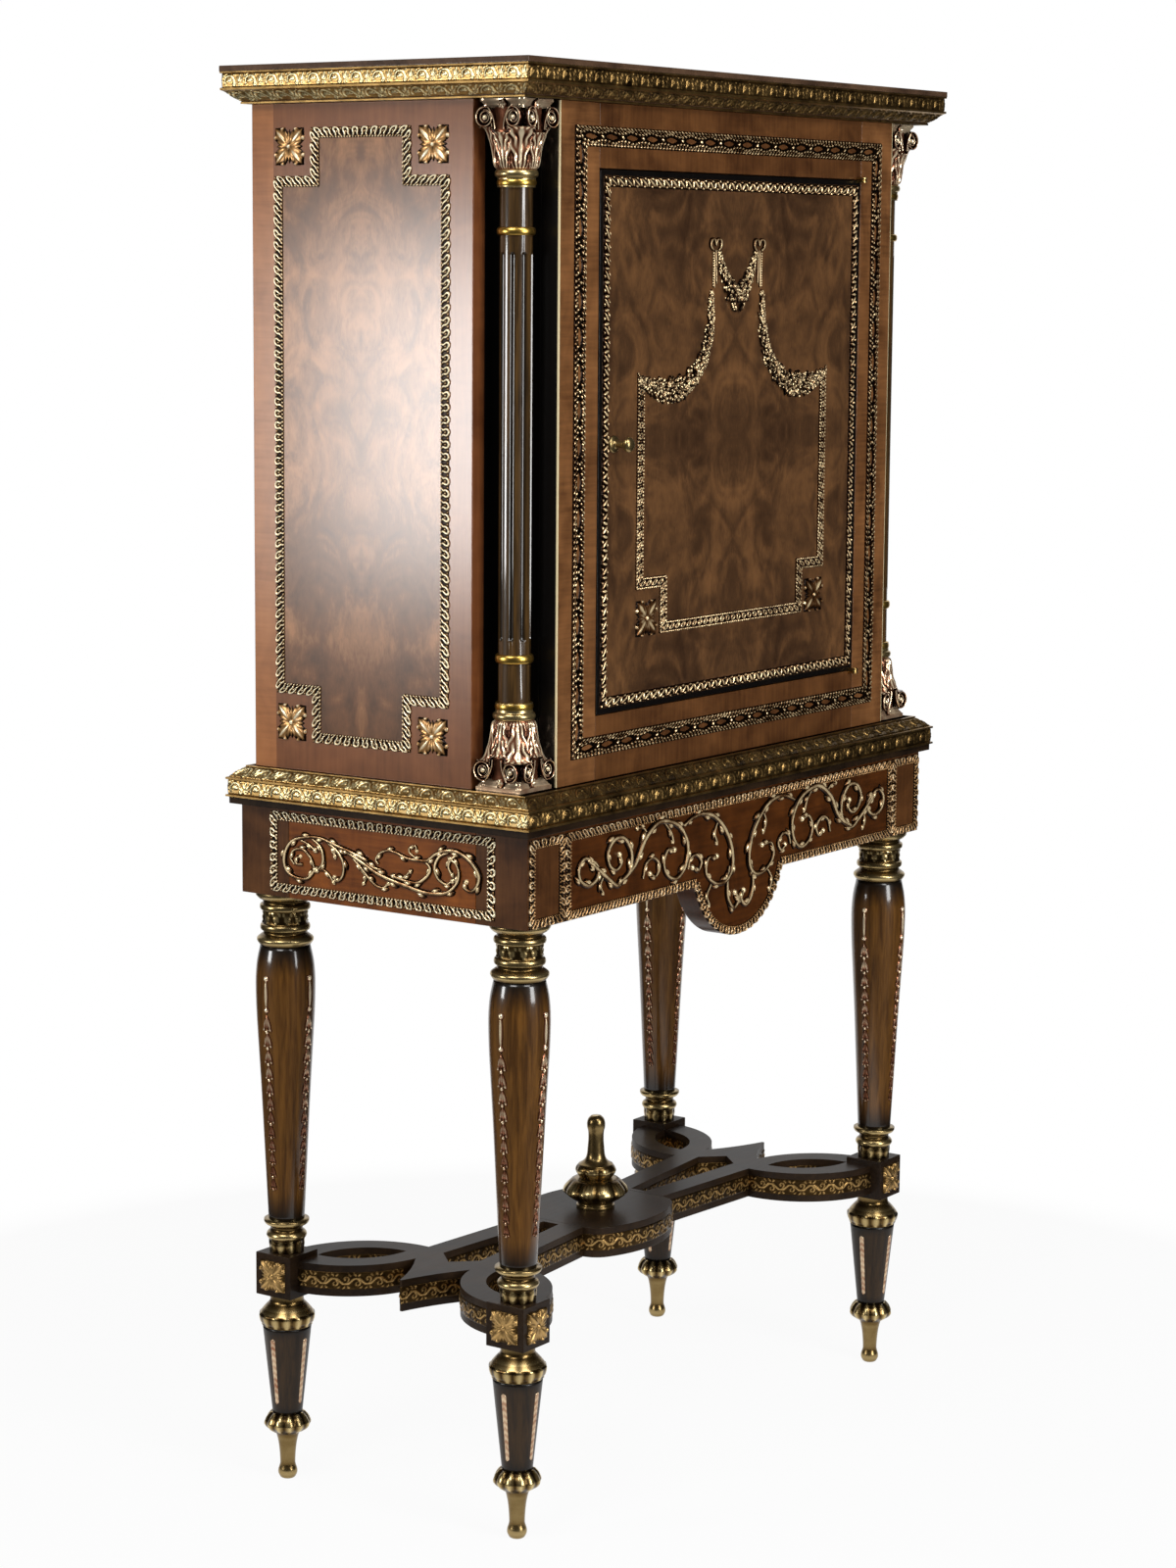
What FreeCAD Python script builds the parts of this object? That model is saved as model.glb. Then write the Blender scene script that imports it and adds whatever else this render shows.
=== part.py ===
import FreeCAD, Part
import math
import os

from FreeCAD import Vector

# A cabinet on a turned-leg stand, with one hinged door. Millimetres, +Z up. The origin is at the
# centre of the footprint on the floor, the door faces -Y and +X is to the right seen from the front.

# ---------------------------------------------------------------- driving dimensions
OVERALL_HEIGHT = 1500.0
STAND_HEIGHT = 780.0
TOP_LENGTH, TOP_DEPTH = 824.0, 388.0
TOP_EDGE = 6.0                 # dark wooden edge above the metal band
TOP_BAND = 18.0
TOP_CHAMFER = 14.0
TOP_CHAMFER_INSET = 15.5
BAND_INSET = 0.5
METAL = 3.0                    # wall of the pressed metal mouldings

WAIST_LENGTH, WAIST_DEPTH = 816.0, 392.0
WAIST_CHAMFER = 12.5
WAIST_BAND = 20.0
WAIST_LIP = 7.5
WAIST_LIP_INSET = 3.0

CASE_LENGTH, CASE_DEPTH = 774.0, 343.0
BOARD = 20.0                   # case sides
NOTCH_X, NOTCH_Y = 60.0, 61.5  # the open front corners that hold the columns
FRAME_THICKNESS = 22.0
BACK_THICKNESS = 12.0
INNER_BOARD = 18.0
SHELF_HEIGHT = 1112.0
BEARER = 12.0                  # square battens under the shelf

DOOR_WIDTH, DOOR_HEIGHT = 513.0, 549.5
DOOR_BOTTOM = 847.0
DOOR_THICKNESS = 21.7
DOOR_GAP = 1.5
DOOR_GAP_ENDS = 1.0
HINGE_AXIS_INSET = 3.0         # pin centre in from the door's edge
HINGE_AXIS_PROUD = 5.5         # pin centre in front of the door's face
HINGE_LEAF = 2.5
HINGE_KNUCKLE_RADIUS = 4.5
HINGE_PIN_RADIUS = 2.0
HINGE_PLAY = 0.05
HINGE_LEAF_LENGTH, HINGE_LEAF_WIDTH = 60.0, 11.0
KNOB_X, KNOB_Z = -230.0, 1121.75
KNOB_PROJECTION = 24.0

EDGING = 3.0                   # height of the metal edgings above the veneer
CASE_BORDER = 21.5
DOOR_EDGING = 12.5
SIDE_BORDER = 11.7
APRON_EDGING = 10.0
APRON_EDGING_DROP = 4.0        # from the lip down to the edgings
CORNER_ROSETTE = 38.0

COLUMN_RADIUS = 16.3
FLUTES = 8
FLUTE_WIDTH, FLUTE_DEPTH = 6.2, 2.6
FLUTE_LOW, FLUTE_HIGH = 930.0, 1314.0
RING_HEIGHTS = (907.6, 1329.9)
CAPITAL, ABACUS, SCROLL = 54.4, 9.0, 9.0
NECKING = 17.0                 # the astragal and fillet cast in one with a capital

TURNED_SIDES = 20              # facets round a turned or cast piece

APRON_LENGTH, APRON_DEPTH = 788.0, 370.0
APRON_HEIGHT = 95.0
APRON_THICKNESS = 25.0
DROP_HALF_WIDTH, DROP_DEPTH = 88.0, 63.0

POST = 64.0
LEG_TOP = 588.0
KNEE_TOP = 289.0
BLOCK = 47.0
BLOCK_LOW, BLOCK_HIGH = 206.5, 253.0
SHIN_LOW = 172.0
ANKLE_TOP = 74.0

STRETCHER_LOW, STRETCHER_HIGH = 212.5, 246.5
RING_HALF_WIDTH, RING_RADIUS, RING_CENTRE = 47.5, 105.0, 77.0
EYE_HALF_WIDTH, EYE_RADIUS, EYE_CENTRE = 20.0, 67.6, 81.0
SPUR_TIP = 360.0
PLATFORM_HALF_LENGTH, PLATFORM_HALF_WIDTH, PLATFORM_SHOULDER = 80.0, 77.5, 36.0

# ---------------------------------------------------------------- derived values
APRON_TOP = STAND_HEIGHT - WAIST_CHAMFER - WAIST_BAND - WAIST_LIP
APRON_LOW = APRON_TOP - APRON_HEIGHT
CASE_TOP = OVERALL_HEIGHT - TOP_EDGE - TOP_BAND - TOP_CHAMFER
CASE_X, CASE_Y = CASE_LENGTH / 2, CASE_DEPTH / 2
FRONT = -CASE_Y
STILE_X = CASE_X - NOTCH_X
RETURN_Y = FRONT + NOTCH_Y
DOOR_X = DOOR_WIDTH / 2
DOOR_TOP = DOOR_BOTTOM + DOOR_HEIGHT
OPENING_X = DOOR_X + DOOR_GAP
OPENING_LOW = DOOR_BOTTOM - DOOR_GAP_ENDS
OPENING_HIGH = DOOR_TOP + DOOR_GAP_ENDS
HINGE_X = DOOR_X - HINGE_AXIS_INSET
HINGE_Y = FRONT - HINGE_AXIS_PROUD
COLUMN_X, COLUMN_Y = CASE_X - NOTCH_X / 2, FRONT + NOTCH_Y / 2
APRON_X, APRON_Y = APRON_LENGTH / 2, APRON_DEPTH / 2
POST_X, POST_Y = APRON_X - POST, APRON_Y - POST
LEG_X, LEG_Y = APRON_X - POST / 2, APRON_Y - POST / 2
SIDES = {"left": -1, "right": 1}
CORNERS = {
    f"{depth}_{side}": (sx * LEG_X, sy * LEG_Y)
    for depth, sy in (("front", -1), ("back", 1))
    for side, sx in SIDES.items()
}


# ---------------------------------------------------------------- helpers
def box(x0, x1, y0, y1, z0, z1):
    """A box between two x, two y and two z planes, given in either order."""
    low = Vector(min(x0, x1), min(y0, y1), min(z0, z1))
    return Part.makeBox(abs(x1 - x0), abs(y1 - y0), abs(z1 - z0), low)


def wire(points, place=lambda u, v: Vector(u, v, 0)):
    """A closed wire through (u, v) points; (u, v, mid_u, mid_v) is reached by an arc through mid."""
    edges = []
    last = place(*points[0][:2])
    for point in list(points[1:]) + [points[0][:2]]:
        end = place(*point[:2])
        if len(point) == 4:
            edges.append(Part.Arc(last, place(*point[2:]), end).toShape())
        elif last.distanceToPoint(end) > 1e-6:
            edges.append(Part.LineSegment(last, end).toShape())
        last = end
    return Part.Wire(edges)


def prism(points, z0, z1):
    """An outline in plan, extruded from z0 to z1."""
    solid = Part.Face(wire(points)).extrude(Vector(0, 0, z1 - z0))
    solid.translate(Vector(0, 0, z0))
    return solid


def turned(profile, x=0.0, y=0.0, sides=TURNED_SIDES):
    """A turned piece, many-sided in plan, through (radius, height) points from its low end up."""
    def level(radius, z):
        turns = [2 * math.pi * i / sides for i in range(sides + 1)]
        return [Vector(x + radius * math.cos(t), y + radius * math.sin(t), z) for t in turns]

    levels = [level(radius, z) for radius, z in profile]
    outlines = [levels[0], levels[-1]]
    for low, high in zip(levels, levels[1:]):
        outlines += [[low[i], low[i + 1], high[i + 1], high[i], low[i]] for i in range(sides)]
    faces = [Part.Face(Part.makePolygon(outline)) for outline in outlines]
    solid = Part.Solid(Part.makeShell(faces))
    solid.fix(1e-6, 1e-6, 1e-6)
    return solid


def slab(levels):
    """A rectangular moulded board through (half length, half depth, height) levels."""
    corners = ((-1, -1), (1, -1), (1, 1), (-1, 1))
    sections = [
        Part.makePolygon([Vector(sx * a, sy * b, z) for sx, sy in corners + corners[:1]])
        for a, b, z in levels
    ]
    return Part.makeLoft(sections, True, True)


def fuse(shapes):
    """One solid out of shapes that meet, with coplanar faces merged."""
    return shapes[0].multiFuse(shapes[1:]).removeSplitter()


def mirrored(shape):
    """The same piece on the other side of the cabinet."""
    return shape.mirror(Vector(0, 0, 0), Vector(1, 0, 0))


def on_front(y):
    """Places (across, up) on a plane that faces -Y."""
    return lambda u, v: Vector(u, y, v)


def on_side(x):
    """Places (depth, up) on a plane that faces -X or +X."""
    return lambda u, v: Vector(x, u, v)


def raised(points, place, outward, holes=()):
    """A metal plate of the edging's height standing on a plane, with holes through it."""
    plate = Part.Face(wire(points, place)).extrude(outward * EDGING)
    for hole in holes:
        plate = plate.cut(Part.Face(wire(hole, place)).extrude(outward * EDGING))
    return plate


def offset_path(points, distance, closed=True):
    """A path moved sideways by a distance, mitred at its corners."""
    count = len(points)
    moved = []
    for i, (u, v) in enumerate(points):
        normals = []
        for a, b in ((i - 1, i), (i, i + 1)):
            if closed or (a >= 0 and b < count):
                (u0, v0), (u1, v1) = points[a % count], points[b % count]
                length = math.hypot(u1 - u0, v1 - v0)
                normals.append(((v0 - v1) / length, (u1 - u0) / length))
        nu, nv = (sum(n[k] for n in normals) for k in (0, 1))
        scale = distance / (0.5 * (nu * nu + nv * nv)) if len(normals) == 2 else distance
        moved.append((u + nu * scale, v + nv * scale))
    return moved


def rectangle(u0, u1, v0, v1):
    return [(u0, v0), (u1, v0), (u1, v1), (u0, v1)]


def frame_strip(u0, u1, v0, v1, width, place, outward):
    """A rectangular edging, mitred at its corners."""
    inner = rectangle(u0 + width, u1 - width, v0 + width, v1 - width)
    return raised(rectangle(u0, u1, v0, v1), place, outward, [inner])


def square(u, v, size):
    return rectangle(u - size / 2, u + size / 2, v - size / 2, v + size / 2)


# ---------------------------------------------------------------- top and waist
def moulding_levels(length, depth, inset, levels):
    """Levels of a moulded board, each given as (inset from the widest outline, height)."""
    return [(length / 2 - i - inset, depth / 2 - i - inset, z) for i, z in levels]


def top_nodes():
    band_low = OVERALL_HEIGHT - TOP_EDGE - TOP_BAND
    levels = [(TOP_CHAMFER_INSET, CASE_TOP), (BAND_INSET, band_low),
              (BAND_INSET, OVERALL_HEIGHT - TOP_EDGE)]
    outside = slab(moulding_levels(TOP_LENGTH, TOP_DEPTH, 0, levels))
    core = slab(moulding_levels(TOP_LENGTH, TOP_DEPTH, METAL, levels))
    edge = box(-TOP_LENGTH / 2, TOP_LENGTH / 2, -TOP_DEPTH / 2, TOP_DEPTH / 2,
               OVERALL_HEIGHT - TOP_EDGE, OVERALL_HEIGHT)
    return {"top_board": fuse([core, edge]), "top_moulding": outside.cut(core)}


def waist_nodes():
    band_low = APRON_TOP + WAIST_LIP
    band_high = band_low + WAIST_BAND
    levels = [(0, band_low), (0, band_high), (TOP_CHAMFER_INSET, STAND_HEIGHT)]
    outside = slab(moulding_levels(WAIST_LENGTH, WAIST_DEPTH, 0, levels))
    core = slab(moulding_levels(WAIST_LENGTH, WAIST_DEPTH, METAL, levels))
    lip_x = WAIST_LENGTH / 2 - WAIST_LIP_INSET
    lip_y = WAIST_DEPTH / 2 - WAIST_LIP_INSET
    lip = box(-lip_x, lip_x, -lip_y, lip_y, APRON_TOP, band_low)
    return {"waist_board": fuse([core, lip]), "waist_moulding": outside.cut(core)}


# ---------------------------------------------------------------- case
def case_floor(z0, z1):
    """The bottom board, cut back at the front corners where the columns stand."""
    x0, x1 = CASE_X - BOARD, STILE_X - INNER_BOARD
    y0, y1 = RETURN_Y + INNER_BOARD, FRONT + FRAME_THICKNESS
    back = CASE_Y - BACK_THICKNESS
    outline = [(-x0, back), (-x0, y0), (-x1, y0), (-x1, y1), (x1, y1), (x1, y0), (x0, y0), (x0, back)]
    return prism(outline, z0, z1)


def corner_return(side):
    """The cheek and back of an open front corner, joined at a right angle."""
    low, high = STAND_HEIGHT, CASE_TOP
    cheek = box(side * STILE_X, side * (STILE_X - INNER_BOARD), FRONT + FRAME_THICKNESS,
                RETURN_Y + INNER_BOARD, low, high)
    back = box(side * STILE_X, side * (CASE_X - BOARD), RETURN_Y, RETURN_Y + INNER_BOARD, low, high)
    return fuse([cheek, back])


def shelf_bearers(inner_back):
    """The two battens on the case sides that the shelf lies on."""
    return [
        box(side * (CASE_X - BOARD), side * (CASE_X - BOARD - BEARER), RETURN_Y + INNER_BOARD + 14,
            inner_back - 10, SHELF_HEIGHT - BEARER, SHELF_HEIGHT)
        for side in SIDES.values()
    ]


def case_nodes():
    low, high = STAND_HEIGHT, CASE_TOP
    frame_back = FRONT + FRAME_THICKNESS
    inner_back = CASE_Y - BACK_THICKNESS
    nodes = {
        "case_floor": case_floor(low, low + INNER_BOARD),
        "back_panel": box(-CASE_X + BOARD, CASE_X - BOARD, inner_back, CASE_Y, low, high),
        "rail_top": box(-OPENING_X, OPENING_X, FRONT, frame_back, OPENING_HIGH, high),
        "rail_bottom": box(-OPENING_X, OPENING_X, FRONT, frame_back, low, OPENING_LOW),
        "shelf": box(-CASE_X + BOARD + 1, CASE_X - BOARD - 1, RETURN_Y + INNER_BOARD + 4, inner_back - 1,
                     SHELF_HEIGHT, SHELF_HEIGHT + INNER_BOARD),
        "shelf_bearers": Part.makeCompound(shelf_bearers(inner_back)),
    }
    for name, side in SIDES.items():
        nodes[f"side_{name}"] = box(side * CASE_X, side * (CASE_X - BOARD), RETURN_Y, CASE_Y, low, high)
        nodes[f"stile_{name}"] = box(side * STILE_X, side * OPENING_X, FRONT, frame_back, low, high)
        nodes[f"corner_return_{name}"] = corner_return(side)
    nodes["door_stop"] = box(-OPENING_X - 10, -OPENING_X + 8, frame_back, frame_back + 10,
                             OPENING_LOW, OPENING_HIGH)
    return nodes


def side_border(x):
    """The edging of a side panel, with stepped-in corners, and its four square rosettes."""
    centre_y, centre_z = 30.0, 1124.2
    long_y, short_y, long_z, short_z = 106.5, 58.5, 308.0, 259.5
    quarter = [(short_y, long_z), (short_y, short_z), (long_y, short_z)]
    path = []
    for sy, sz, order in ((1, 1, 1), (1, -1, -1), (-1, -1, 1), (-1, 1, -1)):
        path += [(centre_y + sy * a, centre_z + sz * b) for a, b in quarter[::order]]
    place, outward = on_side(x), Vector(math.copysign(1, x), 0, 0)
    strip = raised(offset_path(path, SIDE_BORDER / 2), place, outward,
                   [offset_path(path, -SIDE_BORDER / 2)])
    rosettes = [
        raised(square(centre_y + sy * 91.5, centre_z + sz * 294.5, CORNER_ROSETTE), place, outward)
        for sy in (-1, 1) for sz in (-1, 1)
    ]
    return [strip] + rosettes


def case_borders():
    """The metal borders round the door opening and on both side panels."""
    front = frame_strip(-302, 302, 805, 1439, CASE_BORDER, on_front(FRONT), Vector(0, -1, 0))
    sides = [piece for x in (-CASE_X, CASE_X) for piece in side_border(x)]
    return {"case_borders": Part.makeCompound([front] + sides)}


# ---------------------------------------------------------------- door
def hinge_leaf(z, up):
    """A bent leaf seated at z in the frame or the door: a bar and an arm forward to the pin."""
    z0, z1 = sorted((z, z + up * HINGE_LEAF))
    near, far = HINGE_X - HINGE_KNUCKLE_RADIUS, HINGE_X + HINGE_KNUCKLE_RADIUS
    bar = box(HINGE_X - HINGE_LEAF_LENGTH, far, FRONT + 6, FRONT + 6 + HINGE_LEAF_WIDTH, z0, z1)
    arm = box(near, far, HINGE_Y, FRONT + 8, z0, z1)
    knuckle = Part.makeCylinder(HINGE_KNUCKLE_RADIUS, z1 - z0, Vector(HINGE_X, HINGE_Y, z0))
    return fuse([bar, arm, knuckle])


def hinge_pair(rail_z, door_z):
    """The frame's leaf with its fixed pin and washer, and the door's leaf with the hole."""
    up = 1 if rail_z > door_z else -1
    at, toward_door = Vector(HINGE_X, HINGE_Y, rail_z), Vector(0, 0, -up)
    washer = Part.makeCylinder(HINGE_KNUCKLE_RADIUS - 1, DOOR_GAP_ENDS - HINGE_PLAY, at, toward_door)
    pin = Part.makeCylinder(HINGE_PIN_RADIUS, DOOR_GAP_ENDS + HINGE_LEAF, at, toward_door)
    hole = Part.makeCylinder(HINGE_PIN_RADIUS + HINGE_PLAY, DOOR_GAP_ENDS + HINGE_LEAF + 1, at, toward_door)
    return fuse([hinge_leaf(rail_z, up), washer, pin]), hinge_leaf(door_z, -up).cut(hole)


def cartouche():
    """The stepped border in the middle of the door and the two square rosettes beside it."""
    side_x, step_x, foot_z, step_z, head_z = 181.0, 136.0, 927.5, 976.0, 1190.0
    right = [(step_x, foot_z), (step_x, step_z), (side_x, step_z), (side_x, head_z)]
    path = [(-u, v) for u, v in right[::-1]] + right
    place, outward = on_front(FRONT), Vector(0, -1, 0)
    outline = offset_path(path, 6.5, False) + offset_path(path, -6.5, False)[::-1]
    rosettes = [raised(square(x, 939.5, CORNER_ROSETTE), place, outward) for x in (-167.5, 167.5)]
    return Part.makeCompound([raised(outline, place, outward)] + rosettes)


def knob():
    """A turned knob on a rose."""
    rose, stem, head, end = 9.0, 4.0, 8.0, KNOB_PROJECTION
    solid = turned([(rose, 0), (stem, 3.5), (stem, end - 9), (head, end - 7), (head, end - 3),
                    (head - 3.5, end)], sides=16)
    solid.rotate(Vector(0, 0, 0), Vector(1, 0, 0), 90)
    solid.translate(Vector(KNOB_X, FRONT, KNOB_Z))
    return solid


def door_nodes(case):
    """The door with its fittings; the hinge seats are cut in the door and in the rails."""
    door_back = FRONT + DOOR_THICKNESS
    hinge_top = hinge_pair(OPENING_HIGH, DOOR_TOP)
    hinge_bottom = hinge_pair(OPENING_LOW, DOOR_BOTTOM)
    strike = box(-225, -195, door_back - 1.2, door_back, DOOR_TOP - 14, DOOR_TOP - 2)
    catch = box(-230, -190, FRONT + FRAME_THICKNESS, FRONT + FRAME_THICKNESS + 18,
                OPENING_HIGH - 15, OPENING_HIGH + 20)
    case["rail_top"] = case["rail_top"].cut(hinge_top[0])
    case["rail_bottom"] = case["rail_bottom"].cut(hinge_bottom[0])
    panel = box(-DOOR_X, DOOR_X, FRONT, door_back, DOOR_BOTTOM, DOOR_TOP)
    edging = frame_strip(-DOOR_X, DOOR_X, DOOR_BOTTOM, DOOR_TOP, DOOR_EDGING, on_front(FRONT),
                         Vector(0, -1, 0))
    leaves = Part.makeCompound([hinge_top[1], hinge_bottom[1]])
    return {
        "door_panel": panel.cut(Part.makeCompound([leaves, strike])),
        "door_edging": edging.cut(leaves),
        "door_cartouche": cartouche(),
        "door_knob": knob(),
        "hinge_top_frame_leaf": hinge_top[0],
        "hinge_top_door_leaf": hinge_top[1],
        "hinge_bottom_frame_leaf": hinge_bottom[0],
        "hinge_bottom_door_leaf": hinge_bottom[1],
        "magnetic_catch": catch,
        "strike_plate": strike,
    }


# ---------------------------------------------------------------- columns
def fluted_shaft(x, y, low, high):
    """A round shaft with shallow flutes that stop short of its ends."""
    shaft = Part.makeCylinder(COLUMN_RADIUS, high - low, Vector(x, y, low))
    radius = (FLUTE_WIDTH ** 2 / 4 + FLUTE_DEPTH ** 2) / (2 * FLUTE_DEPTH)
    out = COLUMN_RADIUS - FLUTE_DEPTH + radius
    flutes = []
    for i in range(FLUTES):
        angle = 2 * math.pi * (i + 0.5) / FLUTES
        at = Vector(x + out * math.cos(angle), y + out * math.sin(angle), FLUTE_LOW)
        flutes.append(Part.makeCylinder(radius, FLUTE_HIGH - FLUTE_LOW, at))
    return shaft.cut(flutes)


def scroll(side, height):
    """One corner scroll, standing off a side of the capital, mitred to the next side's."""
    turns = [math.pi / 4 * (i + 0.5) for i in range(9)]
    centre_y, centre_z = side * (CAPITAL / 2 - 7.5), height - ABACUS - SCROLL + 0.5
    eight = Part.makePolygon([
        Vector(15, centre_y + SCROLL * math.cos(t), centre_z + SCROLL * math.sin(t)) for t in turns
    ])
    wedge = prism([(0, 0), (CAPITAL, -CAPITAL), (CAPITAL, CAPITAL)], 0, height)
    return Part.Face(eight).extrude(Vector(13.5, 0, 0)).common(wedge)


def abacus_side(height):
    """A quarter of the capital's head: one hollow side of the abacus over two scrolls."""
    half, corner, hollow = CAPITAL / 2, 3.0, 4.0
    plan = [(0, 0), (half - corner / 2, corner / 2 - half), (half, corner - half),
            (half, half - corner, half - hollow, 0), (half - corner / 2, half - corner / 2)]
    return prism(plan, height - ABACUS, height).fuse([scroll(side, height) for side in (-1, 1)])


def capital(x, y, neck, tip):
    """A necking and bell with corner scrolls and a hollow-sided abacus, either way up."""
    height = abs(tip - neck)
    head, leaves = height - ABACUS, height - NECKING - ABACUS
    bell = turned([(18.8, 0), (19.4, 7), (21.7, 12), (20.5, NECKING), (22.5, NECKING + leaves * 0.4),
                   (28.8, NECKING + leaves * 0.65), (22.0, head)])
    side = abacus_side(height)
    sides = []
    for i in range(4):
        quarter = side.copy()
        quarter.rotate(Vector(0, 0, 0), Vector(0, 0, 1), 90 * i)
        sides.append(quarter)
    solid = fuse([bell] + sides)
    if tip < neck:
        solid = solid.mirror(Vector(0, 0, 0), Vector(0, 0, 1))
    solid.translate(Vector(x, y, neck))
    return solid


def ring(x, y, z):
    """A metal ring round a column."""
    outside = turned([(18.4, z), (19.3, z + 4.7), (18.4, z + 9.4)], x, y)
    return outside.cut(Part.makeCylinder(COLUMN_RADIUS, OVERALL_HEIGHT, Vector(x, y, 0)))


def column_nodes():
    base_neck, capital_neck = 868.5, 1376.5
    capitals, bases, rings, nodes = [], [], [], {}
    for name, side in SIDES.items():
        x = side * COLUMN_X
        nodes[f"column_shaft_{name}"] = fluted_shaft(x, COLUMN_Y, base_neck, capital_neck)
        capitals.append(capital(x, COLUMN_Y, capital_neck, CASE_TOP))
        bases.append(capital(x, COLUMN_Y, base_neck, STAND_HEIGHT))
        rings += [ring(x, COLUMN_Y, z) for z in RING_HEIGHTS]
    nodes["column_capitals"] = Part.makeCompound(capitals)
    nodes["column_bases"] = Part.makeCompound(bases)
    nodes["column_rings"] = Part.makeCompound(rings)
    return nodes


# ---------------------------------------------------------------- apron
def drop_outline(inset=0.0, top=APRON_TOP):
    """The front apron's outline with its round drop, moved in by an inset."""
    radius = (DROP_HALF_WIDTH ** 2 + DROP_DEPTH ** 2) / (2 * DROP_DEPTH)
    centre = APRON_LOW - DROP_DEPTH + radius
    low = APRON_LOW + inset
    reach = math.sqrt((radius - inset) ** 2 - (low - centre) ** 2)
    x = POST_X - inset
    bottom = centre - radius + inset
    return [(-x, top), (-x, low), (-reach, low), (reach, low, 0, bottom), (x, low), (x, top)]


def apron_nodes():
    place = on_front(-APRON_Y)
    front = Part.Face(wire(drop_outline(), place)).extrude(Vector(0, APRON_THICKNESS, 0))
    nodes = {
        "apron_front": front,
        "apron_back": box(-POST_X, POST_X, APRON_Y - APRON_THICKNESS, APRON_Y, APRON_LOW, APRON_TOP),
    }
    for name, side in SIDES.items():
        nodes[f"apron_{name}"] = box(side * APRON_X, side * (APRON_X - APRON_THICKNESS), -POST_Y, POST_Y,
                                     APRON_LOW, APRON_TOP)
    return nodes


def apron_edging():
    """Metal edgings on the front and both ends of the apron."""
    place, outward = on_front(-APRON_Y), Vector(0, -1, 0)
    margin, high = 0.5, APRON_TOP - APRON_EDGING_DROP
    low = APRON_LOW + margin
    pieces = [raised(drop_outline(margin, high), place, outward,
                     [drop_outline(margin + APRON_EDGING, high - APRON_EDGING)])]
    for side in SIDES.values():
        x0, x1 = sorted((side * (POST_X + margin), side * (APRON_X - 2)))
        pieces.append(frame_strip(x0, x1, low, high, APRON_EDGING, place, outward))
        pieces.append(frame_strip(-145.5, 145.5, low + 5, high, APRON_EDGING, on_side(side * APRON_X),
                                  Vector(side, 0, 0)))
    return {"apron_edging": Part.makeCompound(pieces)}


# ---------------------------------------------------------------- legs
def corner_post(x, y):
    """The square corner of the apron, over a leg."""
    return box(x - POST / 2, x + POST / 2, y - POST / 2, y + POST / 2, APRON_LOW, APRON_TOP)


def leg(x, y):
    """The turned shaft, which swells towards its top."""
    return turned([(19.2, KNEE_TOP), (30.5, 505), (32.0, 558), (26.5, LEG_TOP)], x, y)


def stretcher_block(x, y):
    """The stretcher block."""
    half = BLOCK / 2
    return box(x - half, x + half, y - half, y + half, BLOCK_LOW, BLOCK_HIGH)


def shin(x, y):
    """The tapered foot shaft under the block."""
    return turned([(16.2, ANKLE_TOP), (26.3, SHIN_LOW)], x, y)


def leg_collar(x, y):
    """The cast collar between the shaft and the apron."""
    return turned([(26.8, LEG_TOP), (30.0, 593), (23.4, 600.5), (26.5, 607), (23.2, 612), (23.2, 623.5),
                   (26.8, 628), (23.5, 634), (31.3, APRON_LOW)], x, y)


def knee_mount(x, y):
    """The ring, bead and leaf cup between the shaft and the stretcher block."""
    return turned([(17.2, BLOCK_HIGH), (17.8, 267), (21.8, 271.5), (17.2, 277), (24.1, 284),
                   (24.1, KNEE_TOP)], x, y)


def shin_collar(x, y):
    """The bulbous collar under the block."""
    return turned([(26.8, SHIN_LOW), (29.5, 182), (20.8, 195.5), (17.9, 200), (17.9, BLOCK_LOW)], x, y)


def foot(x, y):
    """The leafy ankle ring, waisted peg and flat-bottomed ball that the leg stands on."""
    return turned([(7.0, 0), (10.4, 6.5), (8.0, 17), (13.5, 51), (24.0, 60.5), (16.4, ANKLE_TOP)], x, y)


def leg_nodes():
    places = list(CORNERS.values())
    groups = {"corner_posts": corner_post, "leg_collars": leg_collar, "knee_mounts": knee_mount,
              "stretcher_blocks": stretcher_block, "shin_collars": shin_collar, "feet": foot}
    nodes = {name: Part.makeCompound([make(*at) for at in places]) for name, make in groups.items()}
    for corner, at in CORNERS.items():
        nodes[f"leg_{corner}"] = leg(*at)
        nodes[f"shin_{corner}"] = shin(*at)
    return nodes


# ---------------------------------------------------------------- stretcher
def lens(y, centre, half_width, radius):
    """An almond that points from a left leg to the middle of the end, at 45 degrees."""
    turn_x, turn_y = math.sqrt(0.5), -math.copysign(math.sqrt(0.5), y)
    reach = math.sqrt(radius ** 2 - (radius - half_width) ** 2)

    def at(along, across):
        return (turn_x * along - turn_y * across - LEG_X, y + turn_y * along + turn_x * across)

    near, far = at(centre - reach, 0), at(centre + reach, 0)
    return [near, far + at(centre, -half_width), near + at(centre, half_width)]


def end_piece_plan():
    """The left end in plan: a bar pair with an outward spur, without its two rings."""
    inner, shoulder_y, outer_x, outer_y = PLATFORM_HALF_LENGTH - 15, 37.0, 241.5, 52.0
    upper = [(-inner, shoulder_y), (-outer_x, outer_y), (-262, 50), (-291, 34), (-SPUR_TIP, 1.5, -327, 14)]
    lower = [(-SPUR_TIP, -1.5), (-291, -34, -327, -14), (-262, -50), (-outer_x, -outer_y),
             (-inner, -shoulder_y)]
    return upper + lower


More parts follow.
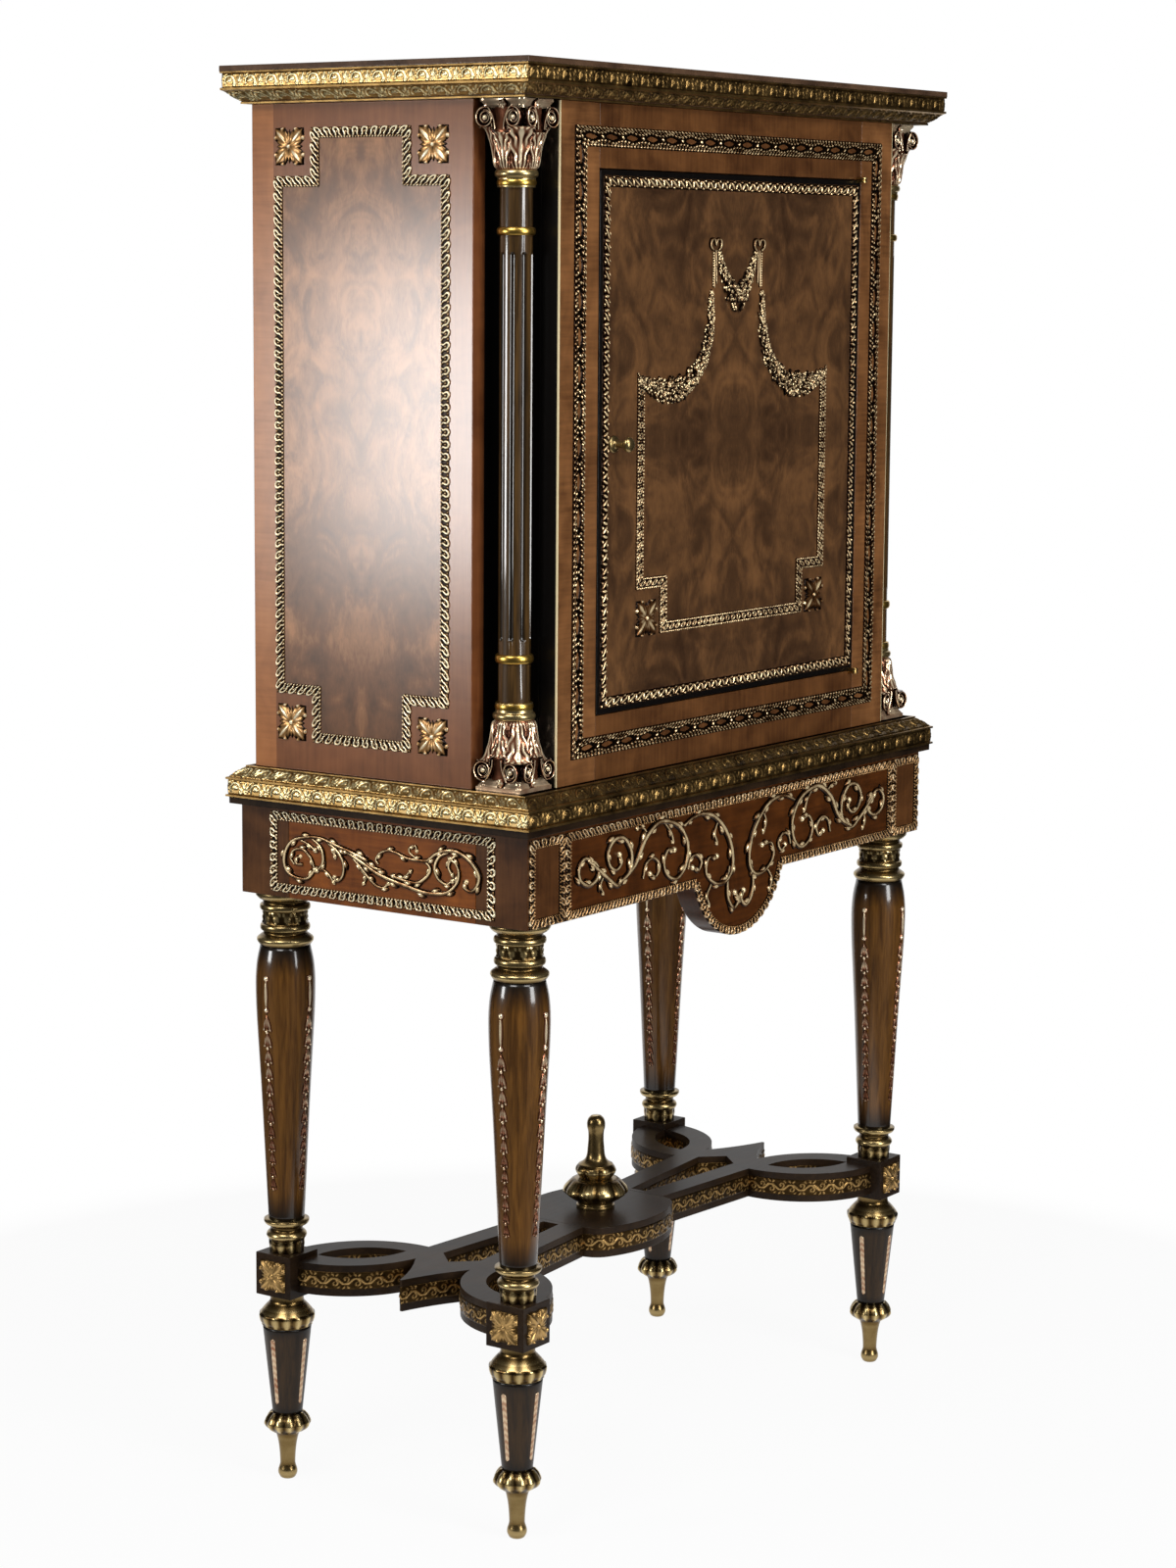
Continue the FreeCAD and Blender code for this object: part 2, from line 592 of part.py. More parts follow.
def platform_plan():
    """The middle platform: two flat-sided round lobes."""
    a, b, shoulder = PLATFORM_HALF_LENGTH, PLATFORM_HALF_WIDTH, PLATFORM_SHOULDER
    lobe = b - shoulder
    knee_x, knee_y = a * 0.80, shoulder + lobe * 0.62
    return [(-a, shoulder), (-a, -shoulder), (-knee_x, -knee_y, -a * 0.96, -shoulder - lobe * 0.3),
            (knee_x, -knee_y, 0, -b), (a, -shoulder, a * 0.96, -shoulder - lobe * 0.3),
            (a, shoulder), (knee_x, knee_y, a * 0.96, shoulder + lobe * 0.3),
            (-knee_x, knee_y, 0, b), (-a, shoulder, -a * 0.96, shoulder + lobe * 0.3)]


def stretcher_nodes():
    """Two pierced end pieces that join the legs, the middle platform and its finial."""
    low, high = STRETCHER_LOW, STRETCHER_HIGH
    half = BLOCK / 2
    rings = []
    openings = [prism([(-277, 0), (-253, -25), (-87, -10), (-87, 10), (-253, 25)], low, high)]
    for y in (-LEG_Y, LEG_Y):
        rings.append(prism(lens(y, RING_CENTRE, RING_HALF_WIDTH, RING_RADIUS), low, high))
        openings.append(prism(lens(y, EYE_CENTRE, EYE_HALF_WIDTH, EYE_RADIUS), low, high))
        openings.append(box(-LEG_X - half - 20, -LEG_X + half, y - math.copysign(half, y), y * 1.4,
                            low, high))
    platform = prism(platform_plan(), low, high)
    left = fuse([prism(end_piece_plan(), low, high)] + rings).cut(openings + [platform])
    return {
        "stretcher_left": left,
        "stretcher_right": mirrored(left),
        "stretcher_platform": platform,
        "finial": finial(),
    }


def finial():
    """The leafy bowl and cup on the platform, with a stem that ends in a knob."""
    z = STRETCHER_HIGH
    return turned([(20.8, z), (20.8, z + 8), (36.5, z + 17.5), (34.5, z + 24), (18.0, z + 33), (23.0, z + 42),
                   (21.3, z + 49), (11.8, z + 55), (8.2, z + 88), (10.3, z + 96), (6.0, z + 105.5)])


# ---------------------------------------------------------------- output
def main():
    case = case_nodes()
    nodes = {**top_nodes(), **waist_nodes(), **door_nodes(case), **case, **case_borders(), **column_nodes(),
             **apron_nodes(), **apron_edging(), **leg_nodes(), **stretcher_nodes()}
    os.makedirs("parts", exist_ok=True)
    for name, shape in nodes.items():
        if not shape.isValid():
            print("invalid shape:", name)
        shape.exportStep(f"parts/{name}.step")
    print(len(nodes), "nodes")


main()
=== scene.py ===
import logging
from dataclasses import dataclass, field, replace
from enum import Enum
from math import asin, atan2, copysign, cos, degrees, hypot, pi, radians, sin
from typing import Callable, Sequence

import bmesh
import bpy
import numpy as np
from mathutils import Matrix, Vector


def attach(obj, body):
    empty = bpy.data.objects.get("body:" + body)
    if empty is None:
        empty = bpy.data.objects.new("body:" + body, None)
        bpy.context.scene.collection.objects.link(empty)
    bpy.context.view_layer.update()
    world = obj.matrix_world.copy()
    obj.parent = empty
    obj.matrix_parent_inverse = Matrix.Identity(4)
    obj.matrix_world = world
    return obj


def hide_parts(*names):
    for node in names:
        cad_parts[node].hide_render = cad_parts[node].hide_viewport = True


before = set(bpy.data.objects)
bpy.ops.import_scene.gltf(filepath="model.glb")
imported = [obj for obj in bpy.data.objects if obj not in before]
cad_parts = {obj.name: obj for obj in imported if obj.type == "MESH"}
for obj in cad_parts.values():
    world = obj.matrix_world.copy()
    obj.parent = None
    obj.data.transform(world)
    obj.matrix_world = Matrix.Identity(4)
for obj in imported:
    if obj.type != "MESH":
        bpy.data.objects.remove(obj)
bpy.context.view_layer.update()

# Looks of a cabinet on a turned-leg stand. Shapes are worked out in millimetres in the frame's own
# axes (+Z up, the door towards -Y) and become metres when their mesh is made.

LOG = logging.getLogger("cabinet")
MM, TAU = 0.001, 2 * pi
RIM = -0.3  # mm: how a relief's rim stands to the surface that carries it, so that no gap shows
WELD = 1e-6  # m: corners of a CAD mesh nearer than this are one
CRISP = radians(40)  # edges of a board that turn more than this stay crisp
SAME_PLANE = radians(0.5)  # faces that turn less than this become one
CHORD = 15  # degrees of a curl that one straight stretch spans
FACES_UP = 0.9  # least upward part of a top face's normal
LEVEL = 0.01  # mm: how far a top face's corners may lie from its height
Array = np.ndarray
Pair = tuple[float, float]
Triple = tuple[float, float, float]
Path = Sequence[Pair]
Field = tuple[Array, Array]
Relief = Callable[[Array, Array], Field]
Socket = bpy.types.NodeSocket
Material = bpy.types.Material


class Body(Enum):
    """The bodies that pieces ride on."""

    CABINET = "cabinet"
    DOOR = "door"


class Slot(Enum):
    """The record's material slots."""

    BURL = "burl"
    CROSSBAND = "crossband"
    TURNED = "turned"
    DARK = "dark"
    INSIDE = "inside"
    GILT = "gilt"
    FITTINGS = "fittings"
    STEEL = "steel"
    CATCH = "catch"


Finish = tuple[Material, Slot]


# ---------------------------------------------------------------- surfaces
@dataclass(frozen=True)
class Place:
    """A local frame: a point and the directions across and up; outwards is at right angles to both."""

    origin: Triple
    across: Triple
    up: Triple = (0, 0, 1)

    def at(self, a: Array, b: Array, h: Array | float = 0.0) -> Array:
        """Points at a across, b up and h outwards."""
        axes = np.array([self.across, self.up, np.cross(self.across, self.up)], float)
        return np.array(self.origin, float) + np.stack(np.broadcast_arrays(a, b, h), -1) @ axes


def on_front(y: float) -> Place:
    """A face towards -Y."""
    return Place((0, y, 0), (1, 0, 0))


def on_side(x: float) -> Place:
    """A face towards -X or +X, by the sign of x."""
    return Place((x, 0, 0), (0, copysign(1, x), 0))


@dataclass
class Patch:
    """A surface: points (n, 3) in mm, quads (m, 4), triangles (k, 3) and tone (n), from 0 deep to 1 high; in some
    pieces the tone also carries painted shade and painted highlights.
    """

    points: Array
    quads: Array
    tris: Array
    tone: Array

    def on(self, points: Array, over: bool = False) -> "Patch":
        """The same faces on other points, turned over where these are mirrored."""
        turn = -1 if over else 1
        return Patch(points, self.quads[:, ::turn], self.tris[:, ::turn], self.tone)

    def placed(self, place: Place, size: float = 1.0, shift: Triple = (0, 0, 0)) -> "Patch":
        """The patch, drawn in (across, up, outwards), sized, shifted and put in a place."""
        return self.on(place.at(*(self.points * size + shift).T))


def grid_quads(rows: int, columns: int, ring: bool = False, loop: bool = False) -> Array:
    """Faces of a grid of points numbered row by row, which turn from the rows to the columns.

    Args:
        rows: points along the first parameter.
        columns: points along the second parameter.
        ring: whether the last column joins the first.
        loop: whether the last row joins the first.

    Returns:
        The quads.
    """
    i, j = np.meshgrid(np.arange(rows - (not loop)), np.arange(columns - (not ring)), indexing="ij")
    a, b, k = i * columns, (i + 1) % rows * columns, (j + 1) % columns
    return np.stack([a + j, b + j, b + k, a + k], -1).reshape(-1, 4)


def sheet(points: Array, tone: Array, loop: bool = False) -> Patch:
    """A relief strip with a flat back, which joins each row's last point to its first.

    Args:
        points: a grid (rows, columns, 3) whose rim lies on the surface that carries it.
        tone: its tone (rows, columns).
        loop: whether the last row joins the first; if not, fans close both ends.

    Returns:
        The closed strip.
    """
    rows, columns = tone.shape
    i, j, last = np.arange(rows - (not loop)) * columns, np.arange(1, columns - 1), columns - 1
    after = (i + columns) % (rows * columns)
    quads = np.concatenate([grid_quads(rows, columns, loop=loop), np.stack([i, i + last, after + last, after], 1)])
    ends = np.concatenate([np.stack([0 * j, j, j + 1], 1), np.stack([0 * j, j + 1, j], 1) + (rows - 1) * columns])
    return Patch(points.reshape(-1, 3), quads, ends[:0] if loop else ends, tone.ravel())


def shell(rings: Array, tone: Array, ends: Array, end_tones: Pair) -> Patch:
    """Rings of points joined one to the next, with a fan from each end ring to an end point.

    Args:
        rings: a grid (rows, columns, 3).
        tone: its tone (rows, columns).
        ends: the two end points.
        end_tones: their tones.

    Returns:
        The closed surface.
    """
    rows, columns = rings.shape[:2]
    j, count = np.arange(columns), rows * columns
    k, low = (j + 1) % columns, count - columns
    fans = [np.stack([j, k, 0 * j + count], 1), np.stack([k + low, j + low, 0 * j + count + 1], 1)]
    return Patch(np.concatenate([rings.reshape(-1, 3), ends]), grid_quads(rows, columns, True), np.concatenate(fans),
                 np.concatenate([tone.ravel(), end_tones]))


def eased(points: Path, rounds: int = 3, keep: float = 0.22) -> Array:
    """A profile whose corners are cut again and again (Chaikin's rule), with its two ends kept.

    Args:
        points: the profile's corners.
        rounds: how often each corner is cut.
        keep: the share of each side that a cut takes.

    Returns:
        The points of the eased profile.
    """
    path = np.array(points, float)
    for _ in range(rounds):
        a, b = path[:-1], path[1:]
        cut = np.stack([a * (1 - keep) + b * keep, a * keep + b * (1 - keep)], 1).reshape(-1, 2)
        path = np.concatenate([path[:1], cut[1:-1], path[-1:]])
    return path


def smooth(points: Path, steps: int = 6) -> Array:
    """A cubic curve through every point, leaving each in the direction of its neighbours' chord.

    Args:
        points: the points.
        steps: stretches between two points.

    Returns:
        The curve's points.
    """
    p = np.array(points, float)
    p = np.concatenate([[2 * p[0] - p[1]], p, [2 * p[-1] - p[-2]]])
    a, b, c, d = p[:-3, None], p[1:-2, None], p[2:-1, None], p[3:, None]
    q = np.linspace(0, 1, steps, endpoint=False)[None, :, None]
    curve = b + 0.5 * q * (c - a + q * (2 * a - 5 * b + 4 * c - d + q * (3 * b - a - 3 * c + d)))
    return np.concatenate([curve.reshape(-1, 2), p[-2:-1]])


def divided(path: Array, step: float) -> Array:
    """The path with more points, none further than a step from the next."""
    counts = np.maximum(1, np.ceil(np.linalg.norm(np.diff(path, axis=0), axis=1) / step).astype(int))
    pieces = [path[i] + np.outer(np.arange(n) / n, path[i + 1] - path[i]) for i, n in enumerate(counts)]
    return np.concatenate(pieces + [path[-1:]])


def reach(path: Array) -> Array:
    """How far along the path each point lies."""
    return np.concatenate([[0], np.cumsum(np.linalg.norm(np.diff(path, axis=0), axis=1))])


def headings(path: Array) -> Array:
    """The path's directions, each one long."""
    ahead = np.gradient(path, axis=0)
    return ahead / np.linalg.norm(ahead, axis=1, keepdims=True)


def around(centre: Pair, radius: Array, angle: Array, z: Array) -> Array:
    """Points at a radius and an angle from an upright line, at height z."""
    return np.stack([centre[0] + radius * np.cos(angle), centre[1] + radius * np.sin(angle), z], -1)


def turned(profile: Array, centre: Pair = (0.0, 0.0), segments: int = 64, relief: Relief | None = None,
           tone: float = 1.0) -> Patch:
    """A profile turned about an upright line: radius r_i plus the relief's height, at angle 2 pi j / segments.

    Args:
        profile: (radius, height) points.
        centre: the line's x and y.
        segments: columns round the piece.
        relief: heights and tones for angles and heights above the floor.
        tone: the tone where there is no relief.

    Returns:
        The closed surface.
    """
    profile = profile[::1 if profile[0, 1] >= profile[-1, 1] else -1]
    theta, z = np.meshgrid(np.arange(segments) / segments * TAU, profile[:, 1])
    height, shade = relief(theta, z) if relief else (0.0, np.full(theta.shape, tone))
    ends = [(*centre, level) for level in profile[[0, -1], 1]]
    return shell(around(centre, profile[:, :1] + height, theta, z), shade, ends, (tone, tone))


def stepped(levels: Sequence[Triple], tone: float = 0.6) -> Patch:
    """A rectangular moulded block through (half length, half depth, height) levels from the top down.

    Args:
        levels: the levels.
        tone: its tone.

    Returns:
        The closed block.
    """
    signs = np.array([(-1, -1, 1), (1, -1, 1), (1, 1, 1), (-1, 1, 1)], float)
    rows, count = np.array(levels)[:, None] * signs, 4 * len(levels)
    caps = np.array([[0, 1, 2, 3], [count - 1, count - 2, count - 3, count - 4]])
    return Patch(rows.reshape(-1, 3), np.concatenate([grid_quads(len(levels), 4, True), caps]), np.zeros((0, 3), int),
                 np.full(count, tone))


# ---------------------------------------------------------------- relief motifs
@dataclass(frozen=True)
class Bump:
    """An oval bump: its middle, half sizes, height, turn in degrees and a pinch towards its tip."""

    s: float
    t: float
    along: float
    across: float
    height: float
    turn: float = 0.0
    pinch: float = 0.0

    def rise(self, s: Array, t: Array) -> Array:
        """The height times the root of 1 - u^2 - v^2, where v narrows towards the tip."""
        c, n = cos(radians(self.turn)), sin(radians(self.turn))
        u = ((s - self.s) * c + (t - self.t) * n) / self.along
        v = ((t - self.t) * c - (s - self.s) * n) / self.across / np.clip(1 - self.pinch * u, 0.15, None)
        return self.height * np.sqrt(np.clip(1 - u * u - v * v, 0, None))

    def over(self) -> "Bump":
        """The bump on the other side of the run's middle line."""
        return replace(self, t=-self.t, turn=-self.turn)


@dataclass(frozen=True)
class Curl:
    """A rounded ridge along a spiral: its middle, radii and angles at both ends, half widths and height."""

    s: float
    t: float
    radius: float
    end_radius: float
    start: float
    end: float
    width: float
    end_width: float
    height: float

    def rise(self, s: Array, t: Array) -> Array:
        """The height times the root of 1 - (distance / width)^2 to the nearest of the spiral's short chords.

        Args:
            s: places along the motif.
            t: places across it.

        Returns:
            The heights.
        """
        steps = max(6, int(abs(self.end - self.start) / CHORD))
        q = np.linspace(0, 1, steps + 1)
        angle = np.radians(self.start + (self.end - self.start) * q)
        radius = self.radius + (self.end_radius - self.radius) * q
        x, y = self.s + radius * np.cos(angle), self.t + radius * np.sin(angle)
        dx, dy, ds, dt = np.diff(x), np.diff(y), s[..., None] - x[:-1], t[..., None] - y[:-1]
        share = np.clip((ds * dx + dt * dy) / (dx * dx + dy * dy + 1e-9), 0, 1)
        gap = np.hypot(ds - share * dx, dt - share * dy)
        width = self.width + (self.end_width - self.width) * (np.arange(steps) + share) / steps
        return self.height * (np.sqrt(np.clip(1 - (gap / width) ** 2, 0, None)) * np.minimum(1, width)).max(-1)

    def over(self) -> "Curl":
        """The ridge on the other side of the run's middle line."""
        return replace(self, t=-self.t, start=-self.start, end=-self.end)


@dataclass(frozen=True)
class Openwork:
    """A thin plate along the run with a pointed opening in the middle of each cell."""

    half: float
    cell: float
    opening: Pair
    height: float

    def rise(self, s: Array, t: Array) -> Array:
        """The height, which falls away within half a millimetre of the rim and of |t| = b (1 - (s/a)^2)."""
        lens = self.opening[1] * np.clip(1 - (s / self.opening[0]) ** 2, 0, None)
        inside = np.where(lens > 0, np.clip((np.abs(t) - lens) * 2 + 1, 0, 1), 1)
        return self.height * inside * np.clip((self.half - np.abs(t)) * 2, 0, 1) * (np.abs(s) <= self.cell / 2 + 1e-6)

    def over(self) -> "Openwork":
        """The plate itself, which is the same on both sides."""
        return self


@dataclass(frozen=True)
class Motif:
    """An ornament: marks on a cell that is pitch long and width wide, over a ground, on a grid of points."""

    pitch: float
    width: float
    marks: Sequence[Bump | Curl | Openwork]
    ground: float = 0.0
    rows: int = 24
    columns: int = 14
    dark_below: float = 0.0

    def field(self, s: Array, t: Array, shifts: Sequence[float] = (0.0,)) -> Field:
        """Heights and tones: the ground with the highest of the marks and the deepest of their cuts.

        Args:
            s: places along the motif.
            t: places across it.
            shifts: where copies of the marks begin.

        Returns:
            The heights and tones.
        """
        rises = np.stack([mark.rise(s - shift, t) for mark in self.marks for shift in shifts])
        height = self.ground + rises.max(0).clip(0) + rises.min(0).clip(None, 0)
        return height, (height - self.dark_below) / (height.max() - self.dark_below)

    def rows_of(self, count: int) -> Field:
        """Heights and tones of a run of cells, with its rim sunk below the surface that carries it.

        Args:
            count: the run's rows.

        Returns:
            The heights and tones (count, columns).
        """
        s, t = np.meshgrid(np.arange(self.rows) / self.rows * self.pitch - self.pitch / 2,
                           np.linspace(-self.width / 2, self.width / 2, self.columns), indexing="ij")
        height, tone = self.field(s, t, (-self.pitch, 0.0, self.pitch))
        height[:, [0, -1]] = RIM
        index = np.arange(count) % self.rows
        return height[index], tone[index]

    def over(self) -> "Motif":
        """The motif turned over, so that its left side lies outside an anticlockwise path."""
        return replace(self, marks=[mark.over() for mark in self.marks])


def strip(place: Place, start: Pair, end: Pair, mitres: Pair, motif: Motif) -> Patch:
    """A motif along a straight run; a point t across is moved along by t times the mitre's slope.

    Args:
        place: the plane.
        start: (across, up) of the middle line's start.
        end: (across, up) of its end.
        mitres: how far each end slants along the run for each mm across.
        motif: the ornament.

    Returns:
        A closed strip.
    """
    a, b = np.array(start, float), np.array(end, float)
    length = np.linalg.norm(b - a)
    along = (b - a) / length
    height, tone = motif.rows_of(max(1, round(length / motif.pitch)) * motif.rows + 1)
    q = np.linspace(0, 1, len(height))[:, None]
    t = np.linspace(-motif.width / 2, motif.width / 2, motif.columns)[None]
    s = q * length + t * (mitres[0] * (1 - q) + mitres[1] * q)
    flat = a + s[..., None] * along + t[..., None] * (along[::-1] * (-1, 1))
    return sheet(place.at(flat[..., 0], flat[..., 1], height), tone)


def banded_path(place: Place, path: list[Pair], motif: Motif, closed: bool = True) -> list[Patch]:
    """A motif along straight runs, mitred at each corner by the tangent of half its turn.

    Args:
        place: the plane.
        path: (across, up) corners.
        motif: the ornament.
        closed: whether the last corner joins the first.

    Returns:
        One strip for each run.
    """
    corners = np.array(path + path[:closed], float)
    ahead = np.diff(corners, axis=0)
    after = np.roll(ahead, -1, axis=0)
    turns = np.arctan2(ahead[:, 0] * after[:, 1] - ahead[:, 1] * after[:, 0], (ahead * after).sum(1))
    slopes = np.tan(turns / 2)
    slopes[-1] *= closed
    return [strip(place, corners[i], corners[i + 1], (slopes[i - 1], -slopes[i]), motif) for i in range(len(ahead))]


def bands_round(half: Pair, low: Pair, high: Pair, motif: Motif) -> list[Patch]:
    """A motif on the four faces round a rectangle, upright or slanting, with painted shade on the front and back.

    Args:
        half: half the length and half the depth of the rectangle at inset 0.
        low: (inset, height) of the strip's lower edge.
        high: (inset, height) of its upper edge.
        motif: the ornament, as wide as the strip.

    Returns:
        Four mitred strips.
    """
    lean, rise = (low[0] - high[0]) / motif.width, (high[1] - low[1]) / motif.width
    inset, z = (low[0] + high[0]) / 2, (low[1] + high[1]) / 2
    strips = []
    for c, n, length, out in ((1, 0, *half), (0, 1, *half[::-1]), (-1, 0, *half), (0, -1, *half[::-1])):
        outward, length = np.array([n, -c, 0.0]), length - inset
        place = Place(tuple(outward * (out - inset) + (0, 0, z)), (c, n, 0), tuple(outward * lean + (0, 0, rise)))
        strips.append(strip(place, (-length, 0), (length, 0), (-lean, lean), motif))
    # Painted shade: the front and back strips' tone is squeezed into a low, narrow range, so they read less lit than
    # the ends.
    for patch in strips[::2]:
        patch.tone = 0.19 + 0.22 * patch.tone
    return strips


def carried(path: Array, motif: Motif, loop: bool) -> tuple[Array, Array, Array, Array]:
    """Rows of a motif at even steps along a curved path in a plane.

    Args:
        path: the path's points (n, 2).
        motif: the ornament.
        loop: whether the path ends where it starts.

    Returns:
        The rows' middles and the unit vectors to their left, both (rows, 1, 2), and the heights and tones.
    """
    lengths = reach(path)
    rows = round(lengths[-1] / motif.pitch) * motif.rows + (not loop)
    at = np.linspace(0, lengths[-1], rows, endpoint=not loop)
    middle = np.stack([np.interp(at, lengths, path[:, i]) for i in (0, 1)], 1)
    ahead = headings(np.pad(middle, ((1, 1), (0, 0)), "wrap"))[1:-1] if loop else headings(middle)
    return middle[:, None], (ahead[:, ::-1] * (-1, 1))[:, None], *motif.rows_of(rows)


def rectangle(low: Pair, high: Pair, inset: float) -> list[Pair]:
    """The corners of a rectangle, anticlockwise, moved in by an inset."""
    a, b, c, d = low[0] + inset, low[1] + inset, high[0] - inset, high[1] - inset
    return [(a, b), (c, b), (c, d), (a, d)]


def lone(place: Place, centre: Pair, motif: Motif, turn: float = 0.0) -> Patch:
    """A motif that stands by itself.

    Args:
        place: the plane.
        centre: (across, up) of its middle.
        motif: the ornament.
        turn: how far it is turned in the plane, in degrees.

    Returns:
        A closed patch.
    """
    s, t = np.meshgrid(np.linspace(-0.5, 0.5, motif.rows + 1) * motif.pitch,
                       np.linspace(-0.5, 0.5, motif.columns) * motif.width, indexing="ij")
    height, tone = motif.field(s, t)
    height[[0, -1]] = height[:, [0, -1]] = RIM
    c, n = cos(radians(turn)), sin(radians(turn))
    return sheet(place.at(centre[0] + s * c - t * n, centre[1] + s * n + t * c, height), tone)


def fan(s: float, t: float, length: float, spread: float, count: int, width: float, height: float,
        turn: float, pinch: float = 0.25) -> list[Bump]:
    """The fingers of a ribbed leaf: ovals that spread from its foot, shorter and lower towards the sides.

    Args:
        s: the foot along the motif.
        t: the foot across it.
        length: the middle finger's length.
        spread: the angle from the middle to the outermost finger, in degrees.
        count: how many fingers, an odd number.
        width: half a finger's width.
        height: the middle finger's height.
        turn: the leaf's direction in degrees.
        pinch: how much each finger narrows.

    Returns:
        One bump for each finger.
    """
    fingers = []
    for q in np.linspace(-1, 1, count).tolist():
        angle, half = turn + q * spread, length * (1 - 0.28 * abs(q)) / 2
        fingers.append(Bump(s + half * cos(radians(angle)), t + half * sin(radians(angle)), half, width,
                            height * (1 - 0.2 * abs(q)), angle, pinch))
    return fingers


def acanthus(pitch: float, width: float) -> Motif:
    """Running acanthus: a leaf that arches over with two veins, a volute at its end and a three-pointed leaf.

    Args:
        pitch: a cell's length.
        width: the strip's width.

    Returns:
        The motif.
    """
    half, a, b = width / 2, -pitch * 0.13, -width * 0.1
    marks = [Curl(a, b, half * 0.86, half * 0.8, 200, 5, 0.95, 0.85, 1.25),
             Curl(a, b, half * 0.62, half * 0.56, 195, 10, 0.6, 0.6, -0.9),
             Curl(a, b, half * 1.12, half * 1.04, 200, 20, 0.55, 0.55, -0.9),
             Curl(a + half * 0.86, b - half * 0.38, half * 0.36, half * 0.08, 95, -280, 0.8, 0.7, 1.25),
             Curl(a + half * 0.1, b - half * 0.5, half * 0.6, half * 0.5, 200, 330, 0.6, 0.6, -0.8),
             Curl(pitch * 0.36, -half * 0.66, half * 0.34, half * 0.1, 20, 300, 0.75, 0.65, 1.1),
             Bump(-pitch * 0.4, half * 0.62, 1.9, 0.8, 0.95, -20),
             Bump(pitch * 0.36, -half * 0.1, 0.6, half * 0.5, -0.7)]
    marks += [Bump(a + half * 0.32 * cos(radians(v)), b + half * 0.32 * sin(radians(v)), half * 0.3, 0.7, 1.15, v)
              for v in (168, 118, 68, 18)]
    marks += [Bump(a + half * 1.3 * cos(radians(v)), b + half * 1.3 * sin(radians(v)), 1.5, 0.7, 0.95, v - 35)
              for v in np.linspace(180, 45, 5).tolist()]
    marks += fan(pitch * 0.36, -half * 0.34, half * 1.28, 36, 3, 0.9, 1.2, 84)
    return Motif(pitch, width, marks, 0.55, 32, 18, -0.6)


def vine(pitch: float, width: float) -> Motif:
    """A stem that waves up and down, with a volute and pointed leaves in each bend.

    Args:
        pitch: a cell's length.
        width: the strip's width.

    Returns:
        The motif.
    """
    bend, half, marks = pitch / 4, width / 2, []
    radius, edge = hypot(bend, 0.7 * bend), degrees(atan2(0.7, 1))
    for s, up in ((-bend, 1), (bend, -1)):
        marks += [Curl(s, -up * 0.7 * bend, radius, radius, up * (180 - edge), up * edge, 1.1, 1.0, 1.7),
                  Curl(s + 0.4, -up * bend * 0.42, bend * 0.62, bend * 0.2, up * 70, -up * 250, 0.9, 0.75, 1.6),
                  Bump(s + bend * 0.5, up * half * 0.68, 2.6, 1.0, 1.6, up * 40),
                  Bump(s - bend * 0.3, up * half * 0.7, 2.4, 1.0, 1.6, -up * 50),
                  Bump(s + bend * 0.75, -up * half * 0.66, 2.0, 0.9, 1.5, up * 30)]
    return Motif(pitch, width, marks, 0.5, 24, 15, -0.1)


def guilloche(pitch: float, width: float) -> Motif:
    """Two thick leafy strands that cross at each end of long pointed openings.

    Args:
        pitch: a cell's length.
        width: the strip's width.

    Returns:
        The motif.
    """
    half, leaves, opening = width / 2, 6, (pitch * 0.3, width * 0.135)
    marks = [Openwork(half - 0.4, pitch, opening, 1.3)] + [Bump(pitch * 0.5, 0, 2.6, 1.5, 3.2, t) for t in (50, -50)]
    for side in (-1, 1):
        for i in range(leaves):
            s = (i + 0.5) * pitch / leaves - pitch / 2
            lens = opening[1] * max(0.0, 1 - (s / opening[0]) ** 2)
            marks += [Bump(s, side * (half - 2.1), 3.1, 1.4, 2.9, side * (42 if i % 2 else 18)),
                      Bump(s + 1.6, side * (half * 0.3 + lens * 0.8 + 0.5), 2.6, 1.35, 3.0, side * 28),
                      Bump(s - 1.6, side * (half * 0.56 + lens * 0.3), 1.9, 1.2, 2.7, -side * 55)]
    return Motif(pitch, width, marks, -0.5, 40, 24, 0.9)


def palmettes(pitch: float, width: float) -> Motif:
    """A row of three-lobed leaves, which point to the left of the run, over a row of beads.

    Args:
        pitch: a cell's length.
        width: the strip's width.

    Returns:
        The motif.
    """
    half = width / 2
    marks = [Curl(0, half * 0.3, pitch * 0.27, pitch * 0.27, 215, -35, 1.15, 1.15, 2.3),
             Bump(0, half * 0.12, 1.7, 0.9, 2.0, 90), Bump(pitch * 0.5, half * 0.62, 1.3, 1.1, 1.8, 90)]
    marks += [Bump(side * pitch * 0.22, -half * 0.34, 2.2, 1.05, 2.3, -side * 52) for side in (-1, 1)]
    marks += [Bump(s * pitch, -half + 1.3, 1.5, 1.0, 2.2) for s in (-1 / 3, 0.0, 1 / 3)]
    return Motif(pitch, width, marks, 0.1, 18, 14, 0.8)


def leaf_rows(pitch: float, width: float) -> Motif:
    """Leaves that lean to and fro across the strip, with buds in the corners between them.

    Args:
        pitch: a cell's length.
        width: the strip's width.

    Returns:
        The motif.
    """
    half, marks = width / 2, []
    for side in (-1, 1):
        marks += [Bump(side * pitch * 0.25, 0, half * 0.9, 1.5, 2.6, -side * 56),
                  Bump(side * pitch * 0.25 + 1.6, -half * 0.5, 1.5, 1.0, 2.0, side * 20),
                  Bump((side + 1) * pitch * 0.25, side * half * 0.66, 2.0, 1.3, 2.4)]
    return Motif(pitch, width, marks, 0.1, 20, 14, 0.6)


def channel(pitch: float, width: float) -> Motif:
    """Round flowers between two ribbed edges.

    Args:
        pitch: a cell's length.
        width: the strip's width.

    Returns:
        The motif.
    """
    marks = [Curl(0, 0, 2.7, 2.7, 0, 360, 0.95, 0.95, 2.2), Bump(pitch * 0.5, 0, 1.4, 1.0, 1.9, 50)]
    marks += [Bump(s * pitch, side * (width / 2 - 1.6), 1.7, 1.05, 2.4, side * 30)
              for side in (-1, 1) for s in (-0.34, 0, 0.34)]
    return Motif(pitch, width, marks, 0.15, 16, 15, 0.7)


